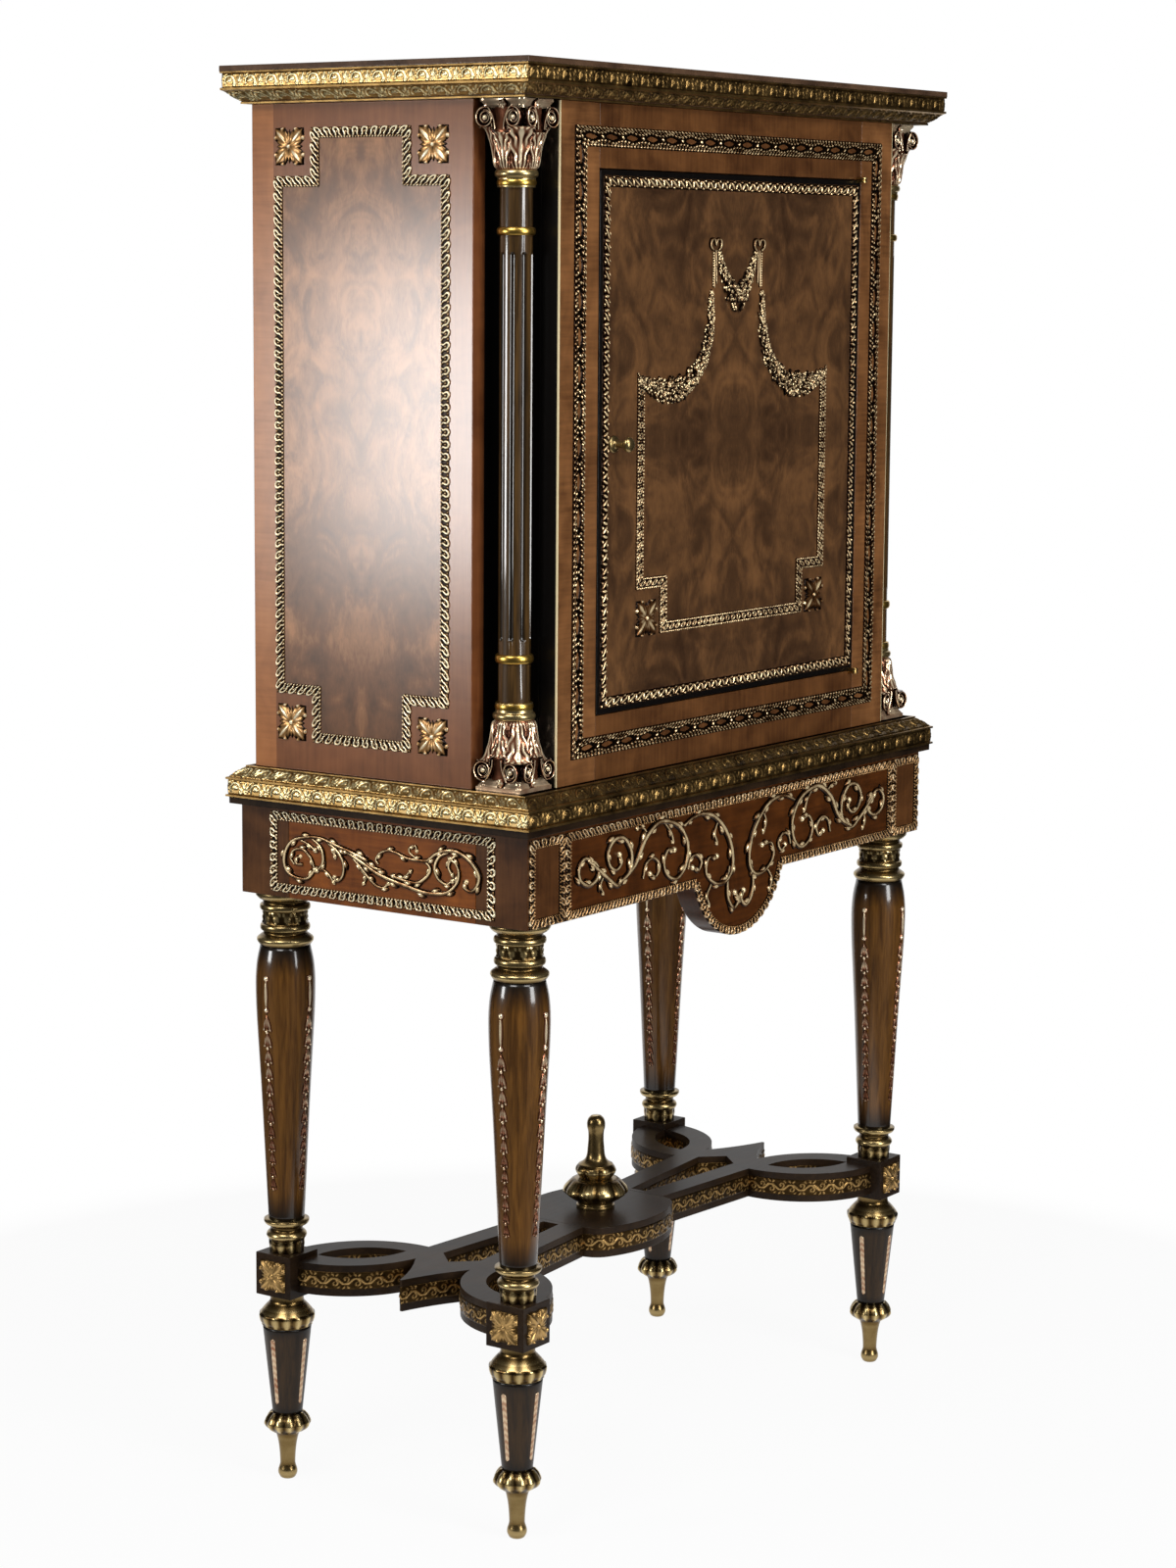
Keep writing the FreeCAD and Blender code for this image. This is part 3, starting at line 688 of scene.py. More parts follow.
def rosette(size: float, ground: float = -0.4, dark_below: float = 0.7) -> Motif:
    """A square of four ribbed leaves with flared corners, side leaves and a boss.

    Args:
        size: the square's side.
        ground: the ground's height.
        dark_below: the height at which the tone is 0.

    Returns:
        The motif.
    """
    half, marks = size / 2, [Bump(0, 0, 2.9, 2.9, 4.4)]
    for turn in (45, 135, 225, 315):
        c, n = half * cos(radians(turn)), half * sin(radians(turn))
        marks += fan(0, 0, half * 1.38, 26, 3, 3.0, 3.6, turn) + [
            Bump(0.72 * c, 0.72 * n, half * 0.6, half * 0.46, 2.6, turn)]
        for aside in (-1, 1):
            a = radians(turn + aside * 21)
            marks.append(Bump(half * 1.08 * cos(a), half * 1.08 * sin(a), 4.2, 2.8, 3.4, turn + aside * 62))
        c, n = half * 0.2 * cos(radians(turn + 45)), half * 0.2 * sin(radians(turn + 45))
        marks += fan(c, n, half * 0.7, 26, 3, 1.7, 2.9, turn + 45)
    return Motif(size, size, marks, ground, 44, 45, dark_below)


# ---------------------------------------------------------------- pieces
def joined(patches: Sequence[Patch]) -> Patch:
    """One patch out of several, with the faces renumbered."""
    starts = np.cumsum([0] + [len(p.points) for p in patches[:-1]])
    return Patch(
        np.concatenate([p.points for p in patches]),
        np.concatenate([p.quads + s for p, s in zip(patches, starts)]).astype(int),
        np.concatenate([p.tris + s for p, s in zip(patches, starts)]).astype(int),
        np.concatenate([p.tone for p in patches]),
    )


def make_piece(name: str, patches: Sequence[Patch], finish: Finish,
               body: Body = Body.CABINET, stands_for: Sequence[str] = (), sharp: float = 180.0) -> bpy.types.Object:
    """Makes one object out of patches and lets it ride on its body.

    Args:
        name: the piece's name.
        patches: its surfaces, in mm.
        finish: its material and slot.
        body: the body it rides on.
        stands_for: CAD nodes that it replaces.
        sharp: edges that turn more than this, in degrees, stay crisp.

    Returns:
        The object.
    """
    whole = joined(list(patches))
    mesh = bpy.data.meshes.new(name)
    mesh.vertices.add(len(whole.points))
    mesh.vertices.foreach_set("co", (whole.points * MM).astype(np.float32).ravel())
    loops = np.concatenate([whole.quads.ravel(), whole.tris.ravel()]).astype(np.int32)
    sizes = np.concatenate([np.full(len(whole.quads), 4), np.full(len(whole.tris), 3)])
    mesh.loops.add(len(loops))
    mesh.loops.foreach_set("vertex_index", loops)
    mesh.polygons.add(len(sizes))
    mesh.polygons.foreach_set("loop_start", np.concatenate([[0], np.cumsum(sizes)[:-1]]).astype(np.int32))
    mesh.polygons.foreach_set("loop_total", sizes.astype(np.int32))
    tone = mesh.attributes.new("tone", "FLOAT", "POINT")
    tone.data.foreach_set("value", np.clip(whole.tone, 0, 1).astype(np.float32))
    mesh.update(calc_edges=True)
    mesh.validate()
    mesh.polygons.foreach_set("use_smooth", np.ones(len(mesh.polygons), bool))
    if sharp < 180:
        mesh.set_sharp_from_angle(angle=radians(sharp))
    return dressed(name, mesh, finish, body, stands_for)


def dressed(name: str, mesh: bpy.types.Mesh, finish: Finish, body: Body,
            stands_for: Sequence[str]) -> bpy.types.Object:
    """Puts a mesh into the scene with its finish's material, its body and the nodes that it stands for.

    Args:
        name: the piece's name.
        mesh: its mesh.
        finish: its material and slot.
        body: the body it rides on.
        stands_for: CAD nodes that it replaces.

    Returns:
        The object.
    """
    piece = bpy.data.objects.new(name, mesh)
    bpy.context.scene.collection.objects.link(piece)
    mesh.materials.clear()
    mesh.materials.append(finish[0])
    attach(piece, body.value)
    if stands_for:
        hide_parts(*stands_for)
    LOG.info("%s: %d faces on %s", name, len(mesh.polygons), body.value)
    return piece


def eased_board(node: str, finish: Finish, body: Body, edge: float) -> bpy.types.Object:
    """A copy of a CAD board with its corners eased by a small round, which stands for the node.

    Args:
        node: the CAD node.
        finish: its material and slot.
        body: the body it rides on.
        edge: the width of the eased edge in mm.

    Returns:
        The object.
    """
    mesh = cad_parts[node].data.copy()
    work = bmesh.new()
    work.from_mesh(mesh)
    bmesh.ops.remove_doubles(work, verts=work.verts, dist=WELD)
    bmesh.ops.dissolve_limit(work, angle_limit=SAME_PLANE, verts=work.verts, edges=work.edges)
    work.to_mesh(mesh)
    work.free()
    mesh.name = f"{node}_eased"
    mesh.polygons.foreach_set("use_smooth", np.ones(len(mesh.polygons), bool))
    mesh.set_sharp_from_angle(angle=CRISP)
    tone = mesh.attributes.get("tone") or mesh.attributes.new("tone", "FLOAT", "POINT")
    tone.data.foreach_set("value", np.ones(len(mesh.vertices), np.float32))
    piece = dressed(f"{node}_eased", mesh, finish, body, [node])
    bevel = piece.modifiers.new("eased", "BEVEL")
    bevel.width = edge * MM
    bevel.segments = 2
    bevel.limit_method = "ANGLE"
    bevel.angle_limit = CRISP
    bevel.harden_normals = True
    return piece


def tube(place: Place, corners: Path, radii: Sequence[float], lift: float = 0.0,
         sides: int = 8, step: float = 2.0, flat: float = 0.8, groove: float = 0.0) -> Patch:
    """A stem that runs along an eased path in a plane and tapers, with closed ends.

    Its section is an oval, flattened towards the plane, with an optional groove down its back. Its tone is a
    painted highlight: brightest along the back, brighter where the stem runs upright, dark down the flanks.

    Args:
        place: the plane.
        corners: (across, up) points of the path.
        radii: half widths, spread evenly along the path.
        lift: how far the middle of the stem stands off the plane.
        sides: points round the section.
        step: the longest stretch between two rings.
        flat: height of the section for each mm of its width.
        groove: depth of the groove as a share of the half width.

    Returns:
        The closed stem.
    """
    path = divided(smooth(corners), step)
    q = np.linspace(0, 1, len(path))
    radius = np.interp(q, np.linspace(0, 1, len(radii)), radii)
    tangent = headings(path)
    normal = tangent[:, ::-1] * (-1, 1)
    angle = np.arange(sides) / sides * TAU
    ring = radius[:, None] * (1 - groove * np.clip(np.sin(angle), 0, None) ** 8)[None]
    side = ring * np.cos(angle)
    high = ring * np.sin(angle) * flat + lift
    spread = path[:, None] + side[..., None] * normal[:, None]
    points = place.at(spread[..., 0], spread[..., 1], high)
    # Painted highlight: bright along the back of the section and on the stretches that run upright.
    tone = np.clip(np.sin(angle), 0, 1)[None] ** 2.6 * (0.62 + 0.42 * np.abs(tangent[:, 1:]))
    ends = place.at(path[[0, -1], 0], path[[0, -1], 1], lift)
    skin = shell(points, tone, ends, (0.6, 0.6))
    return skin.on(skin.points, True)


def spiral(centre: Pair, outer: float, inner: float, start: float, turns: float,
           points: int = 14) -> list[Pair]:
    """Points of a spiral: its radius falls evenly from the outer to the inner one.

    Args:
        centre: its middle.
        outer: the first radius.
        inner: the last radius.
        start: the first angle in degrees.
        turns: turns, anticlockwise above 0.
        points: how many points.

    Returns:
        The points.
    """
    q = np.linspace(0, 1, points)
    angle = radians(start) + q * turns * TAU
    radius = outer + (inner - outer) * q
    return [(float(centre[0] + r * cos(a)), float(centre[1] + r * sin(a))) for r, a in zip(radius, angle)]


def leaf_shape() -> Patch:
    """A pointed leaf, 2 long, folded along its middle: height 0.45 (1 - x^2) (1 - 0.5 |y|) with veins."""
    x, y = np.meshgrid(np.linspace(-1, 1, 7), np.linspace(-1, 1, 5), indexing="ij")
    width = 0.42 * np.clip(1 - x * x, 0, None) ** 0.7 * (1 + 0.35 * x)
    high = 0.42 * np.clip(1 - x * x, 0, None) ** 0.5 * (1 - 0.55 * np.abs(y)) + 0.06 * np.cos(x * 14)
    high[:, [0, -1]] = 0
    high[[0, -1]] = 0
    points = np.stack([x, y * width, high], -1)
    return sheet(points, np.clip(high / 0.44, 0.1, 1) ** 1.8)


def flower_shape(petals: int = 5) -> Patch:
    """A flower of radius 1: petals that bulge at mid radius round a raised heart, closed underneath.

    Args:
        petals: how many petals.

    Returns:
        The flower.
    """
    rho, angle = np.meshgrid(np.array([0.12, 0.3, 0.62, 0.86, 1.0]), np.arange(petals * 3) / (petals * 3) * TAU,
                             indexing="ij")
    petal = np.abs(np.cos(petals / 2 * angle))
    radius = rho * (0.74 + 0.26 * petal)
    high = 0.34 * np.sin(np.pi * np.clip(rho, 0, 1)) * (0.55 + 0.45 * petal)
    high[0] = 0.46
    high[-1] = -0.05
    points = np.stack([radius * np.cos(angle), radius * np.sin(angle), high], -1)
    return shell(points, np.clip(high / 0.34, 0, 1) ** 1.3, [(0, 0, 0.5), (0, 0, -0.05)], (1, 0))


def berry_shape() -> Patch:
    """A dome of radius 1, closed underneath."""
    profile = np.array([(0.0001, 1.0), (0.42, 0.9), (0.78, 0.6), (1.0, 0.1), (0.9, -0.1)])
    return turned(profile, segments=8, tone=0.9)


def scattered(shape: Patch, at: Array, scale: Array, spin: Array, tilt: Array) -> Patch:
    """Copies of a shape: each is tilted about x, spun about z, scaled and moved.

    Args:
        shape: the shape to copy.
        at: (n, 3) places.
        scale: n sizes.
        spin: n angles about z, in radians.
        tilt: n angles about x, in radians.

    Returns:
        All the copies as one patch.
    """
    count, size = len(at), len(shape.points)
    cs, sn, ct, st = np.cos(spin), np.sin(spin), np.cos(tilt), np.sin(tilt)
    zero, one = np.zeros(count), np.ones(count)
    spun = np.array([[cs, -sn, zero], [sn, cs, zero], [zero, zero, one]]).transpose(2, 0, 1)
    tilted = np.array([[one, zero, zero], [zero, ct, -st], [zero, st, ct]]).transpose(2, 0, 1)
    turn = spun @ tilted
    points = np.einsum("nij,kj->nki", turn, shape.points) * scale[:, None, None] + at[:, None]
    starts = (np.arange(count) * size)[:, None, None]
    return Patch(points.reshape(-1, 3), (shape.quads[None] + starts).reshape(-1, 4),
                 (shape.tris[None] + starts).reshape(-1, 3), np.tile(shape.tone, count))


# ---------------------------------------------------------------- finishes
class Graph:
    """A small helper that adds and links the nodes of one material."""

    def __init__(self, name: str) -> None:
        """Starts an empty material with a shader and an output."""
        self.material = bpy.data.materials.new(name)
        self.material.use_nodes = True
        self.tree = self.material.node_tree
        self.tree.nodes.clear()
        self.shader = self.add("ShaderNodeBsdfPrincipled")
        output = self.add("ShaderNodeOutputMaterial")
        self.tree.links.new(self.shader.outputs["BSDF"], output.inputs["Surface"])
        self.coordinates = self.add("ShaderNodeTexCoord").outputs["Object"]

    def add(self, kind: str, **inputs: object) -> bpy.types.Node:
        """Adds a node and fills its inputs, which are named with underscores for spaces."""
        node = self.tree.nodes.new(kind)
        for key, value in inputs.items():
            self.feed(node.inputs[key.replace("_", " ")], value)
        return node

    def feed(self, socket: Socket, value: object) -> None:
        """Links a socket to another, or sets its value."""
        if isinstance(value, Socket):
            self.tree.links.new(value, socket)
        else:
            socket.default_value = value

    def sum(self, operation: str, *values: object) -> Socket:
        """A Math node."""
        node = self.tree.nodes.new("ShaderNodeMath")
        node.operation = operation
        for socket, value in zip(node.inputs, values):
            self.feed(socket, value)
        return node.outputs[0]

    def blend(self, *parts: tuple[Socket, float]) -> Socket:
        """The sum of sockets, each times its share."""
        total = 0.0
        for socket, share in parts:
            total = self.sum("MULTIPLY_ADD", socket, share, total)
        return total

    def tone(self) -> Socket:
        """The mesh's tone."""
        node = self.add("ShaderNodeAttribute")
        node.attribute_name = "tone"
        return node.outputs["Fac"]

    def stretched(self, scale: Triple, vector: object = None) -> Socket:
        """Object coordinates scaled along each axis."""
        node = self.add("ShaderNodeMapping", Vector=vector or self.coordinates, Scale=scale)
        return node.outputs["Vector"]

    def noise(self, vector: object, scale: float, detail: float = 4.0, distortion: float = 0.0) -> Socket:
        """Noise between 0 and 1.

        Args:
            vector: the coordinates.
            scale: how fine.
            detail: octaves.
            distortion: how far it is warped.

        Returns:
            The factor.
        """
        node = self.add("ShaderNodeTexNoise", Vector=vector, Scale=scale, Detail=detail, Distortion=distortion)
        return node.outputs["Fac"]

    def ramp(self, factor: object, stops: Sequence[tuple[float, Triple]]) -> Socket:
        """Colours along a factor.

        Args:
            factor: the factor.
            stops: its (position, colour) pairs.

        Returns:
            The colour.
        """
        node = self.add("ShaderNodeValToRGB", Fac=factor)
        elements = node.color_ramp.elements
        while len(elements) < len(stops):
            elements.new(0.5)
        for element, (position, colour) in zip(elements, stops):
            element.position = position
            element.color = (*colour, 1.0)
        return node.outputs["Color"]

    def mixed(self, factor: object, first: object, second: object, blend: str = "MIX") -> Socket:
        """Two colours mixed.

        Args:
            factor: the second colour's share.
            first: a colour.
            second: another.
            blend: the blend mode.

        Returns:
            The colour.
        """
        node = self.tree.nodes.new("ShaderNodeMix")
        node.data_type = "RGBA"
        node.blend_type = blend
        self.feed(node.inputs[0], factor)
        self.feed(node.inputs[6], first)
        self.feed(node.inputs[7], second)
        return node.outputs[2]

    def spread(self, factor: object, low: float, high: float) -> Socket:
        """A factor of 0 to 1 spread between two values."""
        node = self.add("ShaderNodeMapRange", Value=factor)
        node.inputs["To Min"].default_value = low
        node.inputs["To Max"].default_value = high
        return node.outputs["Result"]

    def bumped(self, height: object, strength: float, distance: float) -> None:
        """Gives the shader a bump."""
        node = self.add("ShaderNodeBump", Height=height, Strength=strength, Distance=distance)
        self.feed(self.shader.inputs["Normal"], node.outputs["Normal"])

    def set(self, **inputs: object) -> None:
        """Fills the shader's inputs, which are named with underscores for spaces."""
        for key, value in inputs.items():
            self.feed(self.shader.inputs[key.replace("_", " ")], value)


def srgb(red: int, green: int, blue: int) -> Triple:
    """A colour given in 0 to 255 steps, in the renderer's linear values."""
    shares = [c / 255 for c in (red, green, blue)]
    return tuple(c / 12.92 if c <= 0.04045 else ((c + 0.055) / 1.055) ** 2.4 for c in shares)


@dataclass(frozen=True)
class StraightGrain:
    """Polished straight-grained veneer, with fine pores along the grain and a ripple across it."""

    name: str
    dark: Triple
    light: Triple
    along: int
    gloss: float = 0.22
    coat: float = 0.5

    def colour(self, graph: Graph) -> tuple[Socket, Socket]:
        """The grain's colour and its height.

        Args:
            graph: the material's nodes.

        Returns:
            The colour and the height.
        """
        scale, ripple_scale = [26.0, 26.0, 26.0], [9.0, 9.0, 9.0]
        scale[self.along], ripple_scale[self.along] = 2.0, 26.0
        fibre = graph.noise(graph.stretched(tuple(scale)), 9.0, 6.0, 0.4)
        ripple = graph.noise(graph.stretched(tuple(ripple_scale)), 1.6, 2.0, 1.2)
        cloud = graph.noise(graph.coordinates, 13.0, 4.0, 1.0)
        mean = graph.blend((fibre, 0.3), (ripple, 0.2), (cloud, 0.5))
        return graph.ramp(mean, [(0.36, self.dark), (0.64, self.light)]), fibre

    def make(self) -> Material:
        """The material."""
        graph = Graph(self.name)
        colour, fibre = self.colour(graph)
        graph.set(Base_Color=colour, Roughness=graph.spread(fibre, 0.4, 0.5), Coat_Weight=self.coat,
                  Coat_Roughness=self.gloss, Specular_IOR_Level=0.08)
        graph.bumped(fibre, 0.06, 0.0004)
        return graph.material


@dataclass(frozen=True)
class StrungGrain:
    """Straight-grained veneer with a thin light string let in along its front outer corner and a near-black side,
    which is painted shade in the notch behind the column.
    """

    name: str
    grain: StraightGrain
    string: Triple
    side: Triple
    string_from: float
    front_to: float

    def make(self) -> Material:
        """The material."""
        graph = Graph(self.name)
        colour, fibre = self.grain.colour(graph)
        parts = graph.add("ShaderNodeSeparateXYZ", Vector=graph.coordinates)
        outside = graph.sum("GREATER_THAN", graph.sum("ABSOLUTE", parts.outputs[0]), self.string_from * MM)
        front = graph.sum("LESS_THAN", parts.outputs[1], self.front_to * MM)
        # The side behind the string is near-black: painted shade in the notch behind the column.
        edge = graph.mixed(front, (*self.side, 1.0), (*self.string, 1.0))
        graph.set(Base_Color=graph.mixed(outside, colour, edge),
                  Roughness=graph.spread(fibre, 0.4, 0.5), Coat_Weight=self.grain.coat,
                  Coat_Roughness=self.grain.gloss, Specular_IOR_Level=0.15)
        graph.bumped(fibre, 0.06, 0.0004)
        return graph.material


@dataclass(frozen=True)
class Burl:
    """Polished burr veneer in matched leaves: clouds, flames and small dark eyes, mirrored at the joints."""

    name: str
    dark: Triple
    middle: Triple
    light: Triple
    joints: tuple[float | None, float | None, float | None]
    gloss: float = 0.24
    coat: float = 0.5

    def leaf_coordinates(self, graph: Graph) -> Socket:
        """Object coordinates folded over at each joint.

        Args:
            graph: the material's nodes.

        Returns:
            The folded coordinates.
        """
        parts = graph.add("ShaderNodeSeparateXYZ", Vector=graph.coordinates)
        folded = graph.add("ShaderNodeCombineXYZ")
        for axis, joint in enumerate(self.joints):
            value = parts.outputs[axis]
            if joint is not None:
                value = graph.sum("ABSOLUTE", graph.sum("SUBTRACT", value, joint * MM))
            graph.feed(folded.inputs[axis], value)
        return folded.outputs[0]

    def colour(self, graph: Graph) -> tuple[Socket, Socket]:
        """The veneer's colour and its height.

        Args:
            graph: the material's nodes.

        Returns:
            The colour and the height.
        """
        leaf = self.leaf_coordinates(graph)
        clouds = graph.noise(leaf, 7.5, 3.0, 0.9)
        flames = graph.noise(graph.stretched((1.0, 1.0, 0.75), leaf), 17.0, 5.0, 2.6)
        fibre = graph.noise(graph.stretched((3.0, 3.0, 1.0), leaf), 90.0, 6.0, 1.2)
        eyes = graph.add("ShaderNodeTexVoronoi", Vector=leaf, Scale=55.0)
        eye = graph.spread(graph.sum("MINIMUM", graph.sum("MULTIPLY", eyes.outputs["Distance"], 3.2), 1.0), 0.72, 1.0)
        mean = graph.blend((clouds, 0.45), (flames, 0.4), (fibre, 0.15))
        veneer = graph.ramp(mean, [(0.36, self.dark), (0.5, self.middle), (0.64, self.light)])
        spots = graph.ramp(eye, [(0.0, (0.0, 0.0, 0.0)), (1.0, (1.0, 1.0, 1.0))])
        return graph.mixed(0.55, veneer, graph.mixed(1.0, veneer, spots, "MULTIPLY")), flames

    def make(self) -> Material:
        """The material."""
        graph = Graph(self.name)
        colour, height = self.colour(graph)
        graph.set(Base_Color=colour, Roughness=graph.spread(height, 0.36, 0.48), Coat_Weight=self.coat,
                  Coat_Roughness=self.gloss, Specular_IOR_Level=0.08)
        graph.bumped(height, 0.03, 0.0004)
        return graph.material


@dataclass(frozen=True)
class FramedBurl:
    """A board veneered with burr inside upright boxes of its face and with straight grain round them."""

    name: str
    inside: Burl
    outside: StraightGrain
    boxes: tuple[tuple[float, float, float, float], ...]
    edge: StraightGrain | None = None
    edge_from: float = 0.0
    across: int = 1
    sheen: float = 0.1
    warmth: Triple = (1.0, 1.0, 1.0)

    def make(self) -> Material:
        """The material: each box is (middle across, middle up, half across, half up) in mm."""
        graph = Graph(self.name)
        parts = graph.add("ShaderNodeSeparateXYZ", Vector=graph.coordinates)
        inside: object = 0.0
        for y, z, half_y, half_z in self.boxes:
            aside = graph.sum("SUBTRACT", parts.outputs[self.across], y * MM)
            near_y = graph.sum("LESS_THAN", graph.sum("ABSOLUTE", aside), half_y * MM)
            near_z = graph.sum("LESS_THAN", graph.sum("ABSOLUTE", graph.sum("SUBTRACT", parts.outputs[2], z * MM)),
                               half_z * MM)
            inside = graph.sum("MAXIMUM", inside, graph.sum("MULTIPLY", near_y, near_z))
        burl, _ = self.inside.colour(graph)
        straight, fibre = self.outside.colour(graph)
        if self.edge:
            strip_colour, _ = self.edge.colour(graph)
            straight = graph.mixed(graph.sum("GREATER_THAN", parts.outputs[1], self.edge_from * MM),
                                   straight, strip_colour)
        graph.set(Base_Color=graph.mixed(inside, straight, burl), Roughness=graph.spread(fibre, 0.32, 0.42),
                  Coat_Weight=self.inside.coat, Coat_Roughness=self.inside.gloss, Specular_IOR_Level=self.sheen,
                  Specular_Tint=(*self.warmth, 1.0))
        graph.bumped(fibre, 0.05, 0.0004)
        return graph.material


@dataclass(frozen=True)
class TurnedGrain:
    """Polished turned wood: streaks along the piece, toned almost black where the tone attribute falls, which paints
    shade into the flutes and next to the brass at the shafts' ends.
    """

    name: str
    dark: Triple
    light: Triple
    # the near-black colour of the painted shade
    ends: Triple
    gloss: float = 0.07
    coat: float = 1.0

    def make(self) -> Material:
        """The material."""
        graph = Graph(self.name)
        streaks = graph.noise(graph.stretched((22.0, 22.0, 1.3)), 7.0, 6.0, 0.7)
        pores = graph.noise(graph.stretched((60.0, 60.0, 3.0)), 12.0, 3.0)
        mean = graph.blend((streaks, 0.7), (pores, 0.3))
        wood = graph.ramp(mean, [(0.38, self.dark), (0.62, self.light)])
        # Painted shade: the near-black colour is mixed in where the tone falls.
        graph.set(Base_Color=graph.mixed(graph.tone(), (*self.ends, 1.0), wood),
                  Roughness=graph.spread(streaks, 0.34, 0.46), Coat_Weight=self.coat, Coat_Roughness=self.gloss,
                  Specular_IOR_Level=0.15)
        graph.bumped(pores, 0.02, 0.0003)
        return graph.material


@dataclass(frozen=True)
class Gilding:
    """Gilt metal with a brown patina that stays in the hollows, where the tone attribute is low; where a piece's tone
    carries painted shade or painted highlights, so does its colour.
    """

    name: str
    recess: Triple
    middle: Triple
    worn: Triple
    rough: Pair = (0.24, 0.5)
    metal: float = 1.0
    bump: float = 0.12
    grime: float = 0.18

    def make(self) -> Material:
        """The material."""
        graph = Graph(self.name)
        grime = graph.noise(graph.coordinates, 60.0, 5.0, 0.5)
        fine = graph.noise(graph.coordinates, 420.0, 3.0)
        level = graph.sum("ADD", graph.tone(), graph.spread(grime, -self.grime, self.grime))
        colour = graph.ramp(level, [(0.2, self.recess), (0.5, self.middle), (0.8, self.worn)])
        graph.set(Base_Color=colour, Metallic=self.metal, Specular_IOR_Level=0.12,
                  Roughness=graph.spread(graph.blend((grime, 0.6), (fine, 0.4)), *self.rough))
        graph.bumped(fine, self.bump, 0.0002)
        return graph.material


@dataclass(frozen=True)
class PlainMetal:
    """Drawn or rolled metal with fine scratches."""

    name: str
    colour: Triple
    rough: Pair

    def make(self) -> Material:
        """The material."""
        graph = Graph(self.name)
        scratches = graph.noise(graph.stretched((40.0, 40.0, 400.0)), 6.0, 4.0)
        shade = graph.mixed(graph.spread(scratches, 0.0, 0.35), (*self.colour, 1.0),
                            (*[c * 0.6 for c in self.colour], 1.0))
        graph.set(Base_Color=shade, Metallic=1.0, Roughness=graph.spread(scratches, *self.rough))
        graph.bumped(scratches, 0.05, 0.0002)
        return graph.material


@dataclass(frozen=True)
class MouldedPlastic:
    """Dull moulded plastic with a fine grain."""

    name: str
    colour: Triple

    def make(self) -> Material:
        """The material."""
        graph = Graph(self.name)
        grain = graph.noise(graph.coordinates, 900.0, 3.0)
        shade = graph.mixed(graph.spread(grain, 0.0, 0.3), (*self.colour, 1.0),
                            (*[c * 1.5 for c in self.colour], 1.0))
        graph.set(Base_Color=shade, Roughness=graph.spread(grain, 0.5, 0.65))
        graph.bumped(grain, 0.15, 0.0002)
        return graph.material


SLOTS = {
    "crossband_across": Slot.CROSSBAND, "crossband_upright": Slot.CROSSBAND, "black_wood": Slot.CROSSBAND,
    "stile_veneer": Slot.CROSSBAND, "column_wood": Slot.CROSSBAND, "door_veneer": Slot.BURL,
    "side_veneer": Slot.BURL, "apron_veneer_front": Slot.BURL, "apron_veneer_side": Slot.BURL,
    "post_veneer": Slot.BURL, "dark_wood": Slot.DARK, "top_edge_wood": Slot.DARK, "inside_boards": Slot.INSIDE,
    "leg_wood": Slot.TURNED, "shin_wood": Slot.TURNED, "fittings_brass": Slot.FITTINGS, "steel_plate": Slot.STEEL,
    "catch_plastic": Slot.CATCH}


